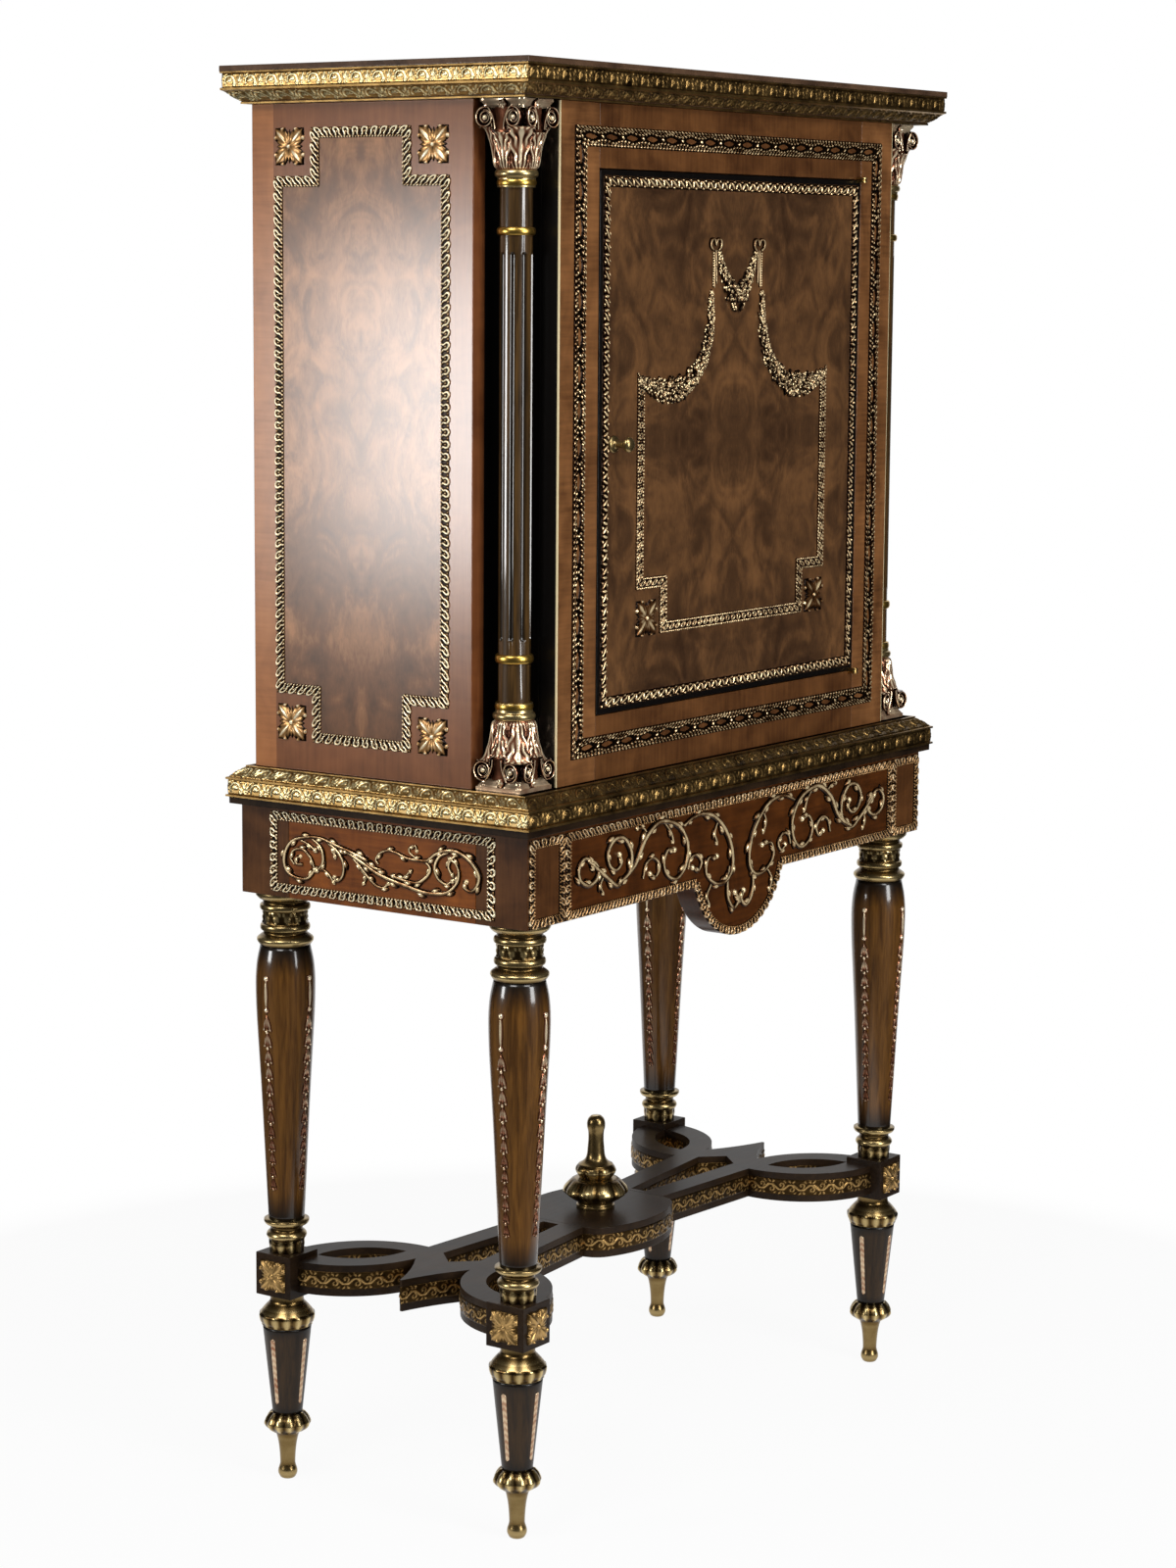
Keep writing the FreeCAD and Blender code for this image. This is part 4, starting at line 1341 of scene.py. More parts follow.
@dataclass
class Finishes:
    """Every finish of the cabinet, made once."""

    made: dict[str, Finish] = field(default_factory=dict)

    def build(self) -> None:
        """Makes the materials."""
        band_dark, band_light = srgb(56, 31, 13), srgb(98, 62, 32)
        cross_x = StraightGrain("crossband_across", srgb(74, 44, 20), srgb(124, 82, 46), 0)
        cross_z = StraightGrain("crossband_upright", band_dark, band_light, 2)
        side_cross = StraightGrain("side_crossband", srgb(78, 42, 20), srgb(112, 66, 36), 2, 0.24, 1.0)
        edge = StraightGrain("edge_strip", srgb(116, 68, 34), srgb(150, 96, 54), 1)
        side_burl = Burl("side_burl", srgb(42, 24, 14), srgb(82, 52, 31), srgb(136, 94, 60), (None, 30.0, None),
                         0.21, 1.0)
        # Near-black wood: painted shade, in the notch behind each column and round the door's rim where the gap's
        # shadow falls.
        black = StraightGrain("black_wood", srgb(5, 4, 4), srgb(13, 9, 7), 2, 0.4, 0.15)
        door_burl = Burl("door_burl", srgb(40, 24, 13), srgb(66, 44, 26), srgb(100, 68, 40), (0.0, None, 1122.0))
        steps = ((30.0, 1124.2, 106.5, 259.5), (30.0, 1124.2, 58.5, 308.0))
        finishes = [
            cross_x, cross_z, black,
            StrungGrain("stile_veneer", cross_x, srgb(206, 190, 150), srgb(8, 6, 5), 325.6, -169.6),
            # The door's rim outside the burl is near-black: a painted shadow in the gap round the door.
            FramedBurl("door_veneer", door_burl, black, ((0.0, 1121.75, 250.6, 268.9),), across=0),
            FramedBurl("side_veneer", side_burl, side_cross, steps, edge, 143.0, 1, 0.3, (1.0, 0.44, 0.16)),
            StraightGrain("apron_veneer_front", srgb(42, 19, 3), srgb(82, 43, 12), 0, 0.2, 0.4),
            StraightGrain("apron_veneer_side", srgb(78, 38, 9), srgb(128, 70, 22), 1, 0.2, 0.7),
            StraightGrain("post_veneer", srgb(54, 30, 12), srgb(88, 54, 26), 2, 0.22, 0.4),
            StraightGrain("dark_wood", srgb(22, 14, 8), srgb(46, 32, 19), 0, 0.2, 0.12),
            StraightGrain("top_edge_wood", srgb(48, 33, 23), srgb(86, 64, 47), 0, 0.16, 0.7),
            StraightGrain("inside_boards", srgb(120, 84, 50), srgb(164, 122, 78), 2, 0.4, 0.1),
            TurnedGrain("leg_wood", srgb(62, 37, 8), srgb(96, 62, 20), srgb(12, 8, 5), 0.13, 0.8),
            TurnedGrain("shin_wood", srgb(30, 20, 10), srgb(52, 36, 18), srgb(9, 6, 4), 0.2, 0.2),
            TurnedGrain("column_wood", srgb(36, 24, 9), srgb(72, 50, 21), srgb(9, 6, 3)),
            Gilding("ormolu", srgb(18, 8, 3), srgb(178, 134, 84), srgb(255, 244, 208), (0.18, 0.36), 0.5, 0.12,
                    0.26),
            Gilding("bright_ormolu", srgb(22, 9, 5), srgb(140, 88, 62), srgb(255, 234, 196), (0.14, 0.28), 0.66),
            # A darker copy of the ormolu, which paints shade into the ornaments that use it.
            Gilding("dim_ormolu", srgb(17, 8, 3), srgb(104, 68, 36), srgb(255, 228, 178), (0.16, 0.32), 0.64, 0.12,
                    0.36),
            Gilding("embossed_brass", srgb(46, 28, 11), srgb(200, 162, 100), srgb(255, 242, 190), (0.3, 0.46), 1.0),
            Gilding("strip_brass", srgb(44, 31, 14), srgb(98, 74, 40), srgb(188, 152, 96), (0.26, 0.44), 0.9),
            Gilding("ring_brass", srgb(92, 66, 22), srgb(176, 134, 56), srgb(222, 182, 92), (0.24, 0.36)),
            Gilding("olive_brass", srgb(52, 38, 20), srgb(108, 86, 50), srgb(208, 184, 130), (0.22, 0.34), 0.95, 0.03,
                    0.05),
            PlainMetal("fittings_brass", srgb(190, 158, 98), (0.2, 0.36)),
            PlainMetal("steel_plate", srgb(170, 170, 172), (0.26, 0.42)),
            MouldedPlastic("catch_plastic", srgb(60, 50, 42)),
        ]
        for finish in finishes:
            self.made[finish.name] = finish.make(), SLOTS.get(finish.name, Slot.GILT)

    def __getitem__(self, name: str) -> Finish:
        """The material and the slot of that name."""
        return self.made[name]


# ---------------------------------------------------------------- studio
@dataclass
class Softbox:
    """A soft lamp that looks at the cabinet: where it stands, its size in metres and its power."""

    azimuth: float
    height: float
    distance: float
    size: Pair
    power: float

    def build(self, name: str, target: Vector) -> None:
        """Adds the lamp.

        Args:
            name: the lamp's name.
            target: where it looks.
        """
        lamp = bpy.data.lights.new(name, "AREA")
        lamp.shape = "RECTANGLE"
        lamp.size, lamp.size_y = self.size
        lamp.energy = self.power
        holder = bpy.data.objects.new(name, lamp)
        angle = radians(self.azimuth)
        holder.location = (self.distance * cos(angle), self.distance * sin(angle), self.height)
        holder.rotation_euler = (target - holder.location).to_track_quat("-Z", "Y").to_euler()
        holder.visible_camera = False
        bpy.context.scene.collection.objects.link(holder)


@dataclass
class Studio:
    """The floor, the white surroundings, the lamps and the camera."""

    camera_at: Triple = (-3164.38, -2166.80, 1305.21)
    yaw: float = -54.918
    pitch: float = -8.195
    roll: float = 0.377
    focal_px: float = 3555.44
    centre_px: Pair = (569.49, 778.65)
    image_px: Pair = (1200.0, 1600.0)
    sensor: float = 36.0
    floor_half: float = 30.0
    white_from: Pair = (0.25, 1.2)
    white_least: float = 0.94

    def build(self) -> None:
        """Builds everything round the cabinet."""
        self.camera()
        self.floor()
        self.world()
        self.flags()
        self.lamps()
        bpy.context.scene.view_settings.view_transform = "Standard"

    def camera(self) -> None:
        """Places the camera; the image's long side spans the sensor."""
        data = bpy.data.cameras.new("camera")
        data.sensor_width = self.sensor
        data.sensor_fit = "AUTO"
        long_side = max(self.image_px)
        data.lens = self.focal_px / long_side * self.sensor
        data.shift_x = (self.image_px[0] / 2 - self.centre_px[0]) / long_side
        data.shift_y = (self.centre_px[1] - self.image_px[1] / 2) / long_side
        data.clip_end = 100
        yaw, pitch, roll = (radians(v) for v in (self.yaw, self.pitch, self.roll))
        level = Vector((sin(-yaw), cos(yaw), 0))
        right = Vector((level.y, -level.x, 0))
        forward = level * cos(pitch) + Vector((0, 0, 1)) * sin(pitch)
        up = right.cross(forward)
        tilted = right * cos(roll) + up * sin(roll)
        up = tilted.cross(forward)
        camera = bpy.data.objects.new("camera", data)
        rotation = Matrix((tilted, up, -forward)).transposed()
        camera.matrix_world = Matrix.Translation(Vector(self.camera_at) * MM) @ rotation.to_4x4()
        bpy.context.scene.collection.objects.link(camera)
        bpy.context.scene.camera = camera

    def floor(self) -> None:
        """A plain pale floor."""
        half = self.floor_half
        mesh = bpy.data.meshes.new("floor")
        mesh.from_pydata([(-half, -half, 0), (half, -half, 0), (half, half, 0), (-half, half, 0)], [], [(0, 1, 2, 3)])
        mesh.materials.append(self.floor_paint())
        floor = bpy.data.objects.new("floor", mesh)
        bpy.context.scene.collection.objects.link(floor)

    def floor_paint(self) -> Material:
        """Pale matt paint that turns into plain white where it is seen away from the cabinet."""
        graph = Graph("floor_paint")
        mottle = graph.noise(graph.coordinates, 3.0)
        graph.set(Base_Color=graph.ramp(mottle, [(0.3, (0.59, 0.59, 0.59)), (0.7, (0.61, 0.61, 0.61))]),
                  Roughness=0.9, Specular_IOR_Level=0.1)
        distance = graph.add("ShaderNodeVectorMath")
        distance.operation = "LENGTH"
        graph.feed(distance.inputs[0], graph.coordinates)
        away = graph.add("ShaderNodeMapRange", Value=distance.outputs["Value"])
        away.interpolation_type = "SMOOTHSTEP"
        away.inputs["From Min"].default_value, away.inputs["From Max"].default_value = self.white_from
        path = graph.add("ShaderNodeLightPath")
        seen = graph.sum("MAXIMUM", path.outputs["Is Camera Ray"],
                         graph.sum("MAXIMUM", path.outputs["Is Glossy Ray"], path.outputs["Is Transmission Ray"]))
        white = graph.add("ShaderNodeEmission")
        mix = graph.add("ShaderNodeMixShader")
        share = graph.sum("MAXIMUM", away.outputs["Result"], self.white_least)
        graph.feed(mix.inputs[0], graph.sum("MULTIPLY", share, seen))
        graph.feed(mix.inputs[1], graph.shader.outputs["BSDF"])
        graph.feed(mix.inputs[2], white.outputs["Emission"])
        output = next(node for node in graph.tree.nodes if node.type == "OUTPUT_MATERIAL")
        graph.feed(output.inputs["Surface"], mix.outputs["Shader"])
        return graph.material

    def world(self) -> None:
        """White where it is seen, mirrored or seen through; a plain soft grey as a light."""
        world = bpy.data.worlds.new("surroundings")
        world.use_nodes = True
        tree = world.node_tree
        tree.nodes.clear()
        path = tree.nodes.new("ShaderNodeLightPath")
        seen = path.outputs["Is Camera Ray"]
        for name in ("Is Glossy Ray", "Is Transmission Ray"):
            add = tree.nodes.new("ShaderNodeMath")
            add.operation = "MAXIMUM"
            tree.links.new(seen, add.inputs[0])
            tree.links.new(path.outputs[name], add.inputs[1])
            seen = add.outputs[0]
        light, white = tree.nodes.new("ShaderNodeBackground"), tree.nodes.new("ShaderNodeBackground")
        light.inputs["Strength"].default_value = 0.22
        white.inputs["Strength"].default_value = 1.0
        for background in (light, white):
            background.inputs["Color"].default_value = (1, 1, 1, 1)
        mix, output = tree.nodes.new("ShaderNodeMixShader"), tree.nodes.new("ShaderNodeOutputWorld")
        tree.links.new(seen, mix.inputs[0])
        tree.links.new(light.outputs[0], mix.inputs[1])
        tree.links.new(white.outputs[0], mix.inputs[2])
        tree.links.new(mix.outputs[0], output.inputs[0])
        bpy.context.scene.world = world

    def flags(self) -> None:
        """Dark cloth that only mirrors see: a carpet, a curtain and a canopy round the camera's side."""
        count = 57
        angles = np.radians(np.linspace(78, 358, count))
        section = np.array([(0.95, 0.004), (6.0, 0.02), (6.0, 4.4), (0.3, 4.4)])
        points = np.array([(r * cos(a), r * sin(a), z) for r, z in section for a in angles])
        faces = grid_quads(len(section), count).tolist()
        mesh = bpy.data.meshes.new("curtain")
        mesh.from_pydata(points.tolist(), [], faces)
        graph = Graph("curtain_cloth")
        graph.set(Base_Color=(0.05, 0.05, 0.05, 1.0), Roughness=1.0, Specular_IOR_Level=0.0)
        mesh.materials.append(graph.material)
        curtain = bpy.data.objects.new("curtain", mesh)
        for kind in ("camera", "diffuse", "shadow", "transmission", "volume_scatter"):
            setattr(curtain, f"visible_{kind}", False)
        bpy.context.scene.collection.objects.link(curtain)

    def lamps(self) -> None:
        """Two softboxes that polished wood mirrors, and two larger ones high up that it doesn't."""
        Softbox(151.2, 1.05, 2.87, (0.6, 0.57), 25).build("softbox_left", Vector((-0.38, -0.1, 1.12)))
        Softbox(262, 1.3, 3.2, (0.9, 1.3), 58).build("softbox_front", Vector((0, 0, 1.0)))
        Softbox(186, 3.2, 2.7, (1.3, 1.3), 62).build("high_left", Vector((0, 0, 0.9)))
        Softbox(250, 3.3, 2.7, (1.2, 1.2), 50).build("high_front", Vector((0, 0, 0.9)))


# ---------------------------------------------------------------- case, apron and doors as boards
@dataclass
class Boards:
    """The flat boards of the case, the door and the apron, with eased edges and matched veneers."""

    finishes: Finishes
    edge: float = 0.7
    small_edge: float = 0.2
    cabinet: dict[str, str] = field(default_factory=lambda: {
        "top_board": "top_edge_wood", "waist_board": "dark_wood", "side_left": "side_veneer",
        "side_right": "side_veneer", "back_panel": "inside_boards", "case_floor": "inside_boards",
        "shelf": "inside_boards", "shelf_bearers": "inside_boards", "door_stop": "inside_boards",
        "stile_left": "stile_veneer", "stile_right": "stile_veneer", "rail_top": "crossband_upright",
        # the corner returns in the notch behind each column are near-black, which is painted shade
        "rail_bottom": "crossband_upright", "corner_return_left": "black_wood", "corner_return_right": "black_wood",
        "apron_front": "apron_veneer_front", "apron_back": "inside_boards", "apron_left": "apron_veneer_side",
        "apron_right": "apron_veneer_side", "corner_posts": "post_veneer", "stretcher_blocks": "dark_wood",
        "stretcher_left": "dark_wood", "stretcher_right": "dark_wood", "stretcher_platform": "dark_wood",
        "hinge_top_frame_leaf": "fittings_brass", "hinge_bottom_frame_leaf": "fittings_brass",
        "magnetic_catch": "catch_plastic"})
    door: dict[str, str] = field(default_factory=lambda: {
        "door_panel": "door_veneer", "hinge_top_door_leaf": "fittings_brass",
        "hinge_bottom_door_leaf": "fittings_brass", "strike_plate": "steel_plate"})
    small: tuple[str, ...] = ("hinge_top_frame_leaf", "hinge_bottom_frame_leaf", "hinge_top_door_leaf",
                              "hinge_bottom_door_leaf", "strike_plate", "magnetic_catch")

    def build(self) -> None:
        """Makes every board."""
        for body, boards in ((Body.CABINET, self.cabinet), (Body.DOOR, self.door)):
            for node, finish in boards.items():
                edge = self.small_edge if node in self.small else self.edge
                eased_board(node, self.finishes[finish], body, edge)


# ---------------------------------------------------------------- gilt mouldings of the top and waist
@dataclass
class Moulding:
    """An embossed brass moulding round the cabinet: a body with raised edge lines and two rows of relief."""

    finishes: Finishes
    name: str
    half: Pair
    body: Path
    band: tuple[Pair, Pair]
    slope: tuple[Pair, Pair]
    pitch: float = 27.5

    def build(self) -> None:
        """Makes the body and the relief."""
        a, b = self.half
        body = stepped([(a - inset, b - inset, z) for inset, z in self.body], 0.35)
        make_piece(f"{self.name}_body", [body], self.finishes["embossed_brass"],
                   stands_for=[self.name], sharp=30)
        for part, (low, high) in (("band", self.band), ("slope", self.slope)):
            width = hypot(high[0] - low[0], high[1] - low[1])
            patches = bands_round(self.half, low, high, acanthus(self.pitch, width))
            make_piece(f"{self.name}_{part}", patches, self.finishes["embossed_brass"])


def mouldings(finishes: Finishes) -> list[Moulding]:
    """The top's moulding, which slopes in below its band, and the waist's, which slopes in above it.

    Args:
        finishes: the cabinet's finishes.

    Returns:
        Both mouldings.
    """
    top = Moulding(
        finishes, "top_moulding", (412.0, 194.0),
        ((0.5, 1494.0), (0.5, 1492.6), (3.0, 1491.8), (3.0, 1478.4), (0.7, 1477.6), (0.7, 1475.6),
         (3.0, 1474.6), (16.6, 1464.6), (15.6, 1463.6), (15.6, 1462.0)),
        ((2.6, 1478.0), (2.6, 1492.2)), ((16.0, 1464.8), (3.2, 1475.2)))
    waist = Moulding(
        finishes, "waist_moulding", (408.0, 196.0),
        ((15.6, 780.0), (15.6, 778.8), (16.6, 777.8), (3.4, 768.6), (0.4, 767.8), (0.4, 765.8),
         (3.0, 765.0), (3.0, 750.2), (0.3, 749.4), (0.3, 747.5)),
        ((2.6, 749.8), (2.6, 765.4)), ((3.0, 768.4), (16.0, 778.2)))
    return [top, waist]


# ---------------------------------------------------------------- flat gilt edgings
@dataclass
class Edgings:
    """The gilt borders on the case, the door and the apron, and the square rosettes at their steps."""

    finishes: Finishes
    front_y: float = -171.5
    case_x: float = 387.0
    apron: Pair = (394.0, -185.0)
    border: float = 21.0
    rosette: float = 38.0

    def build(self) -> None:
        """Makes all the borders."""
        # The front's, the door's and the cartouche's ornaments take the darker copy of the ormolu, which is painted
        # shade.
        ormolu, shade_gilt = self.finishes["ormolu"], self.finishes["dim_ormolu"]
        front = on_front(self.front_y)
        outline = rectangle((-302, 805), (302, 1439), self.border / 2)
        case = banded_path(front, outline, guilloche(36.0, self.border).over())
        make_piece("front_border", case, shade_gilt, stands_for=["case_borders"])
        for name, x in (("left", -self.case_x), ("right", self.case_x)):
            make_piece(f"side_border_{name}", self.side(x), ormolu)
        door = banded_path(front, rectangle((-256, 847.5), (256, 1396), 11.2), leaf_rows(14.0, 12.5).over())
        make_piece("door_border", door, shade_gilt, Body.DOOR, ["door_edging"])
        make_piece("door_cartouche_strips", self.cartouche(front), shade_gilt, Body.DOOR,
                   ["door_cartouche"])
        make_piece("apron_borders", self.apron_strips(), ormolu, stands_for=["apron_edging"])

    def side(self, x: float) -> list[Patch]:
        """The stepped frame of a side panel and its rosettes.

        Args:
            x: the panel's face, left where it is negative.

        Returns:
            The patches.
        """
        place, middle = on_side(x), 1124.2
        sign = -1 if x < 0 else 1
        y = 30.0 * sign
        long_y, short_y, long_z, short_z = 106.5, 58.5, 308.0, 259.5
        quarter = [(short_y, long_z), (short_y, short_z), (long_y, short_z)]
        path: list[Pair] = []
        for sy, sz, order in ((1, -1, 1), (1, 1, -1), (-1, 1, 1), (-1, -1, -1)):
            path += [(y + sy * a, middle + sz * b) for a, b in quarter[::order]]
        strips = banded_path(place, path, palmettes(12.0, 11.7).over())
        square = rosette(self.rosette)
        return strips + [lone(place, (y + sy * 91.5, middle + sz * 294.5), square)
                         for sy in (-1, 1) for sz in (-1, 1)]

    def cartouche(self, place: Place) -> list[Patch]:
        """The open stepped frame in the middle of the door and its two rosettes."""
        right = [(136.0, 927.5), (136.0, 976.0), (181.0, 976.0), (181.0, 1190.0)]
        path = [(-a, b) for a, b in right[::-1]] + right
        strips = banded_path(place, path, channel(11.0, 13.0), closed=False)
        return strips + [lone(place, (side * 167.5, 939.5), rosette(self.rosette)) for side in (-1, 1)]

    def apron_strips(self) -> list[Patch]:
        """The borders of the apron's front, corners and ends, the front's with painted shade."""
        x, y = self.apron
        motif = palmettes(12.0, 10.0).over()
        front = on_front(y)
        strips: list[Patch] = []
        on_ends: list[Patch] = []
        for side in (-1, 1):
            low, high = sorted((side * 330.5, side * 392.0))
            strips += banded_path(front, rectangle((low, 645.5), (high, 736.0), 5.0), motif)
            on_ends += banded_path(on_side(side * x), rectangle((-145.5, 650.5), (145.5, 736.0), 5.0), motif)
        corner, top, low, half, radius, centre = 324.5, 731.0, 650.5, 85.5, 88.3, 675.0
        ends = [(-half, low), (-corner, low), (-corner, top), (corner, top), (corner, low), (half, low)]
        strips += banded_path(front, ends[::-1], motif, closed=False)
        edge = asin((centre - low) / radius)
        angles = np.linspace(pi + edge, TAU - edge, 24)
        drop = [(radius * cos(a), centre + radius * sin(a)) for a in angles.tolist()]
        middle, left, height, tone = carried(np.array(drop), motif, False)
        flat = middle + left * np.linspace(-motif.width / 2, motif.width / 2, motif.columns)[:, None]
        strips.append(sheet(front.at(flat[..., 0], flat[..., 1], height), tone))
        # Painted shade: the front's borders are toned down by a third against the ends' borders of the same gilt.
        for patch in strips:
            patch.tone *= 0.66
        return strips + on_ends


# ---------------------------------------------------------------- columns
@dataclass
class Column:
    """A fluted corner column between an upright capital and an upturned one."""

    finishes: Finishes
    side: str
    x: float = 357.0
    y: float = -140.75
    radius: float = 16.3
    flutes: int = 8
    flute_width: float = 6.2
    flute_depth: float = 2.6
    flute_low: float = 930.0
    flute_high: float = 1314.0
    shaft_low: float = 868.5
    shaft_high: float = 1376.5
    mirror_sum: float = 2244.5
    bell: Path = (
        (24.6, 1453.6), (24.6, 1441.0), (26.0, 1434.5), (26.2, 1430.0), (25.2, 1424.0), (23.6, 1416.0),
        (22.0, 1406.0), (20.8, 1399.0), (19.4, 1393.6))

    @property
    def centre(self) -> Pair:
        """The column's axis in plan."""
        return (-self.x if self.side == "left" else self.x), self.y

    def build(self) -> None:
        """Makes the shaft, the rings, and both capitals."""
        side = self.side
        make_piece(f"column_{side}_shaft", [self.shaft()], self.finishes["column_wood"],
                   stands_for=[f"column_shaft_{side}"], sharp=50)
        nodes = (["column_capitals"], ["column_bases"], ["column_rings"]) if side == "left" else ([], [], [])
        head = self.capital()
        foot = [self.turned_over(p) for p in head]
        plinth = stepped([(27.2, 27.2, 784.0), (27.2, 27.2, 780.0)])
        plinth.points[:, :2] += np.array(self.centre)
        make_piece(f"column_{side}_head", head, self.finishes["bright_ormolu"], stands_for=nodes[0], sharp=70)
        make_piece(f"column_{side}_foot", foot + [plinth], self.finishes["bright_ormolu"], stands_for=nodes[1],
                   sharp=70)
        make_piece(f"column_{side}_rings", self.rings(), self.finishes["ring_brass"], stands_for=nodes[2])
        make_piece(f"column_{side}_necks", [self.neck(), self.turned_over(self.neck())], self.finishes["olive_brass"])

    def shaft(self) -> Patch:
        """The shaft: each flute is a round groove with round ends."""
        ends = np.linspace(0, self.flute_width / 2, 5)
        rows = np.concatenate([
            [self.shaft_high], self.flute_high - ends, np.linspace(self.flute_high - 4, self.flute_low + 4, 24),
            (self.flute_low + ends)[::-1], [self.shaft_low]])
        profile = np.stack([np.full(len(rows), self.radius), rows], 1)
        half_way, half_length = (self.flute_low + self.flute_high) / 2, (self.flute_high - self.flute_low) / 2
        reach = self.flute_width / 2

        def relief(theta: Array, z: Array) -> Field:
            """The flutes' depth below the shaft, and painted shade in them."""
            step = TAU / self.flutes
            aside = (theta % step - step / 2) * self.radius
            over = np.clip(np.abs(z - half_way) - (half_length - reach), 0, None)
            share = np.hypot(aside, over) / reach
            depth = self.flute_depth * np.sqrt(np.clip(1 - share ** 2, 0, None))
            return -depth, 1 - 0.9 * np.clip(depth / self.flute_depth, 0, 1) ** 0.5

        return turned(profile, self.centre, 128, relief)

    def capital(self) -> list[Patch]:
        """The bell with its leaves, the scrolls, the hollow-sided abacus and its flowers."""
        bell = turned(divided(eased(self.bell, 2), 1.3), self.centre, 64, tone=0.38)
        patches = [bell, self.abacus()]
        for turn in range(4):
            patches += self.face(turn * 90.0)
            patches.append(self.leaf(turn * 90.0 + 45.0, 1434.5, 0.5, 11.0))
            patches.append(self.leaf(turn * 90.0, 1429.0, 0.4, 5.0))
        return patches

    def leaf(self, turn: float, top: float, half_angle: float, curl: float) -> Patch:
        """One acanthus leaf of the bell.

        It lies on the bell at radius r(z), stands off by c (1 - cos 1.76u)^2 towards its tip and has ribs and
        side lobes that wave with its height u.

        Args:
            turn: its middle line's direction in degrees.
            top: the height of its tip.
            half_angle: half its width in radians.
            curl: how far the tip stands off.

        Returns:
            The closed leaf.
        """
        u, v = np.meshgrid(np.linspace(0, 1, 30), np.linspace(1, -1, 19), indexing="ij")
        foot, lobes = 1393.8, 4
        z = foot + (top - foot) * np.sin(u * 1.76)
        width = half_angle * (0.72 + 0.42 * np.sin(u * 2.6)) * (1 + 0.13 * np.sin(u * lobes * TAU))
        width = width * np.sqrt(np.clip(1 - u ** 7, 0.02, None))
        bell = np.array(self.bell[::-1])
        base = np.interp(z, bell[:, 1], bell[:, 0]) + curl * (1 - np.cos(u * 1.76)) ** 2 / 1.41
        body = 1.3 * np.sqrt(np.clip(1 - v ** 2, 0, None))
        veins = 1.0 * np.sin((u - 0.85 * np.abs(v)) * 2.7 * TAU) * np.abs(v) ** 0.6
        ribs = 0.8 * np.cos(v * 4.2 * pi) * np.clip(1.2 - np.abs(v) * 1.6, 0, 1)
        high = body + (veins + ribs) * np.clip(1.3 - np.abs(v) ** 4, 0, 1)
        tone = np.clip(high / 2.1, 0, 1)
        high[[0, -1]] = high[:, [0, -1]] = -0.4
        radius, angle = base + high, radians(turn) + v * width
        return sheet(around(self.centre, radius, angle, z), tone)

    def neck(self) -> Patch:
        """The astragal under the bell."""
        return turned(divided(eased([(19.0, 1394), (20.8, 1393), (21.8, 1390), (21.0, 1387), (18.8, 1386.4),
                                     (18.8, 1376.5)], 2), 1.0), self.centre, 48, tone=0.7)

    def abacus(self) -> Patch:
        """The slab: hollow sides between cut corners, with a hollow edge; rows run down, columns round."""
        half, cut, hollow = 27.2, 3.2, 4.6
        q = np.linspace(-1, 1, 13)
        side = np.stack([half - hollow * (1 - q ** 2), q * (half - cut)], 1)
        outline = np.concatenate([side @ np.array([[c, n], [-n, c]]) for c, n in
                                  ((1, 0), (0, 1), (-1, 0), (0, -1))])
        levels = [(1.0, 1462.0), (1.0, 1459.6), (0.97, 1458.6), (0.9, 1456.2), (0.92, 1453.6), (0.92, 1452.6)]
        rows = np.array([[(*(p * share + np.array(self.centre)), z) for p in outline] for share, z in levels])
        middle = [(*self.centre, levels[i][1]) for i in (0, -1)]
        return shell(rows, np.full(rows.shape[:2], 0.66), middle, (0.66, 0.66))

    def face(self, turn: float) -> list[Patch]:
        """Two scrolls that meet their neighbours at the corners, and the flower between them.

        Args:
            turn: the face's direction in degrees.

        Returns:
            The patches.
        """
        a = radians(turn)
        out, across = np.array([cos(a), sin(a), 0]), np.array([-sin(a), cos(a), 0])
        base = np.array([*self.centre, 0.0])
        patches = []
        reach = 28.2 if out[1] < -0.5 or out[0] * self.centre[0] > 1 else 24.6
        for side in (-1, 1):
            lean = out * cos(0.1) - side * across * sin(0.1)
            along = np.cross([0, 0, 1], lean)
            place = Place(tuple(base + out * reach + across * side * 17.2), tuple(along))
            for outer, inner, width in ((10.2, 7.2, 1.6), (6.2, 3.4, 1.2)):
                coil = spiral((0.0, 1443.4), outer, inner, 90 + side * 25, -side * 1.1, 22)
                stem = [(-side * (outer + 1.6), 1432.0), (-side * (outer + 0.8), 1439.0),
                        (-side * outer * 0.84, 1446.0)]
                patches.append(tube(place, stem + coil, (0.9, 1.05, 1.05, 0.95, 0.8), 0.3 * outer - 2.0, 8, 1.5,
                                    width * 1.5, 0.0))
            disc = turned(np.array([(0.5, 1.6), (8.0, 1.0), (9.4, -0.4), (9.4, -2.6)]), segments=28, tone=0.12)
            patches += [disc.placed(place, 1, (0, 1443.4, 0)), berry_shape().placed(place, 2.7, (0, 1443.4, 1.2))]
        place = Place(tuple(base + out * 23.6), tuple(across))
        patches.append(flower_shape().placed(place, 6.2, (0, 1456.0, 0)))
        buds = np.array([(-2.2, 1447.6, 0.0), (2.2, 1447.6, 0.0), (0.0, 1444.0, 0.0), (0.0, 1449.6, 1.0)])
        heart = scattered(berry_shape(), buds, np.full(4, 2.0), np.zeros(4), np.zeros(4))
        patches.append(heart.placed(Place(tuple(base + out * 20.6), tuple(across))))
        sprig = Motif(26, 17, fan(0, 0, 13, 34, 5, 1.2, 2.6, 90), ground=-0.5, rows=18, columns=16, dark_below=0.3)
        patches.append(lone(Place(tuple(base + out * 20.6 + (0, 0, 1429.0)), tuple(across)), (0, 2), sprig))
        return patches

    def turned_over(self, patch: Patch) -> Patch:
        """The patch upside down at the column's foot."""
        points = patch.points.copy()
        points[:, 2] = self.mirror_sum - points[:, 2]
        return patch.on(points, True)

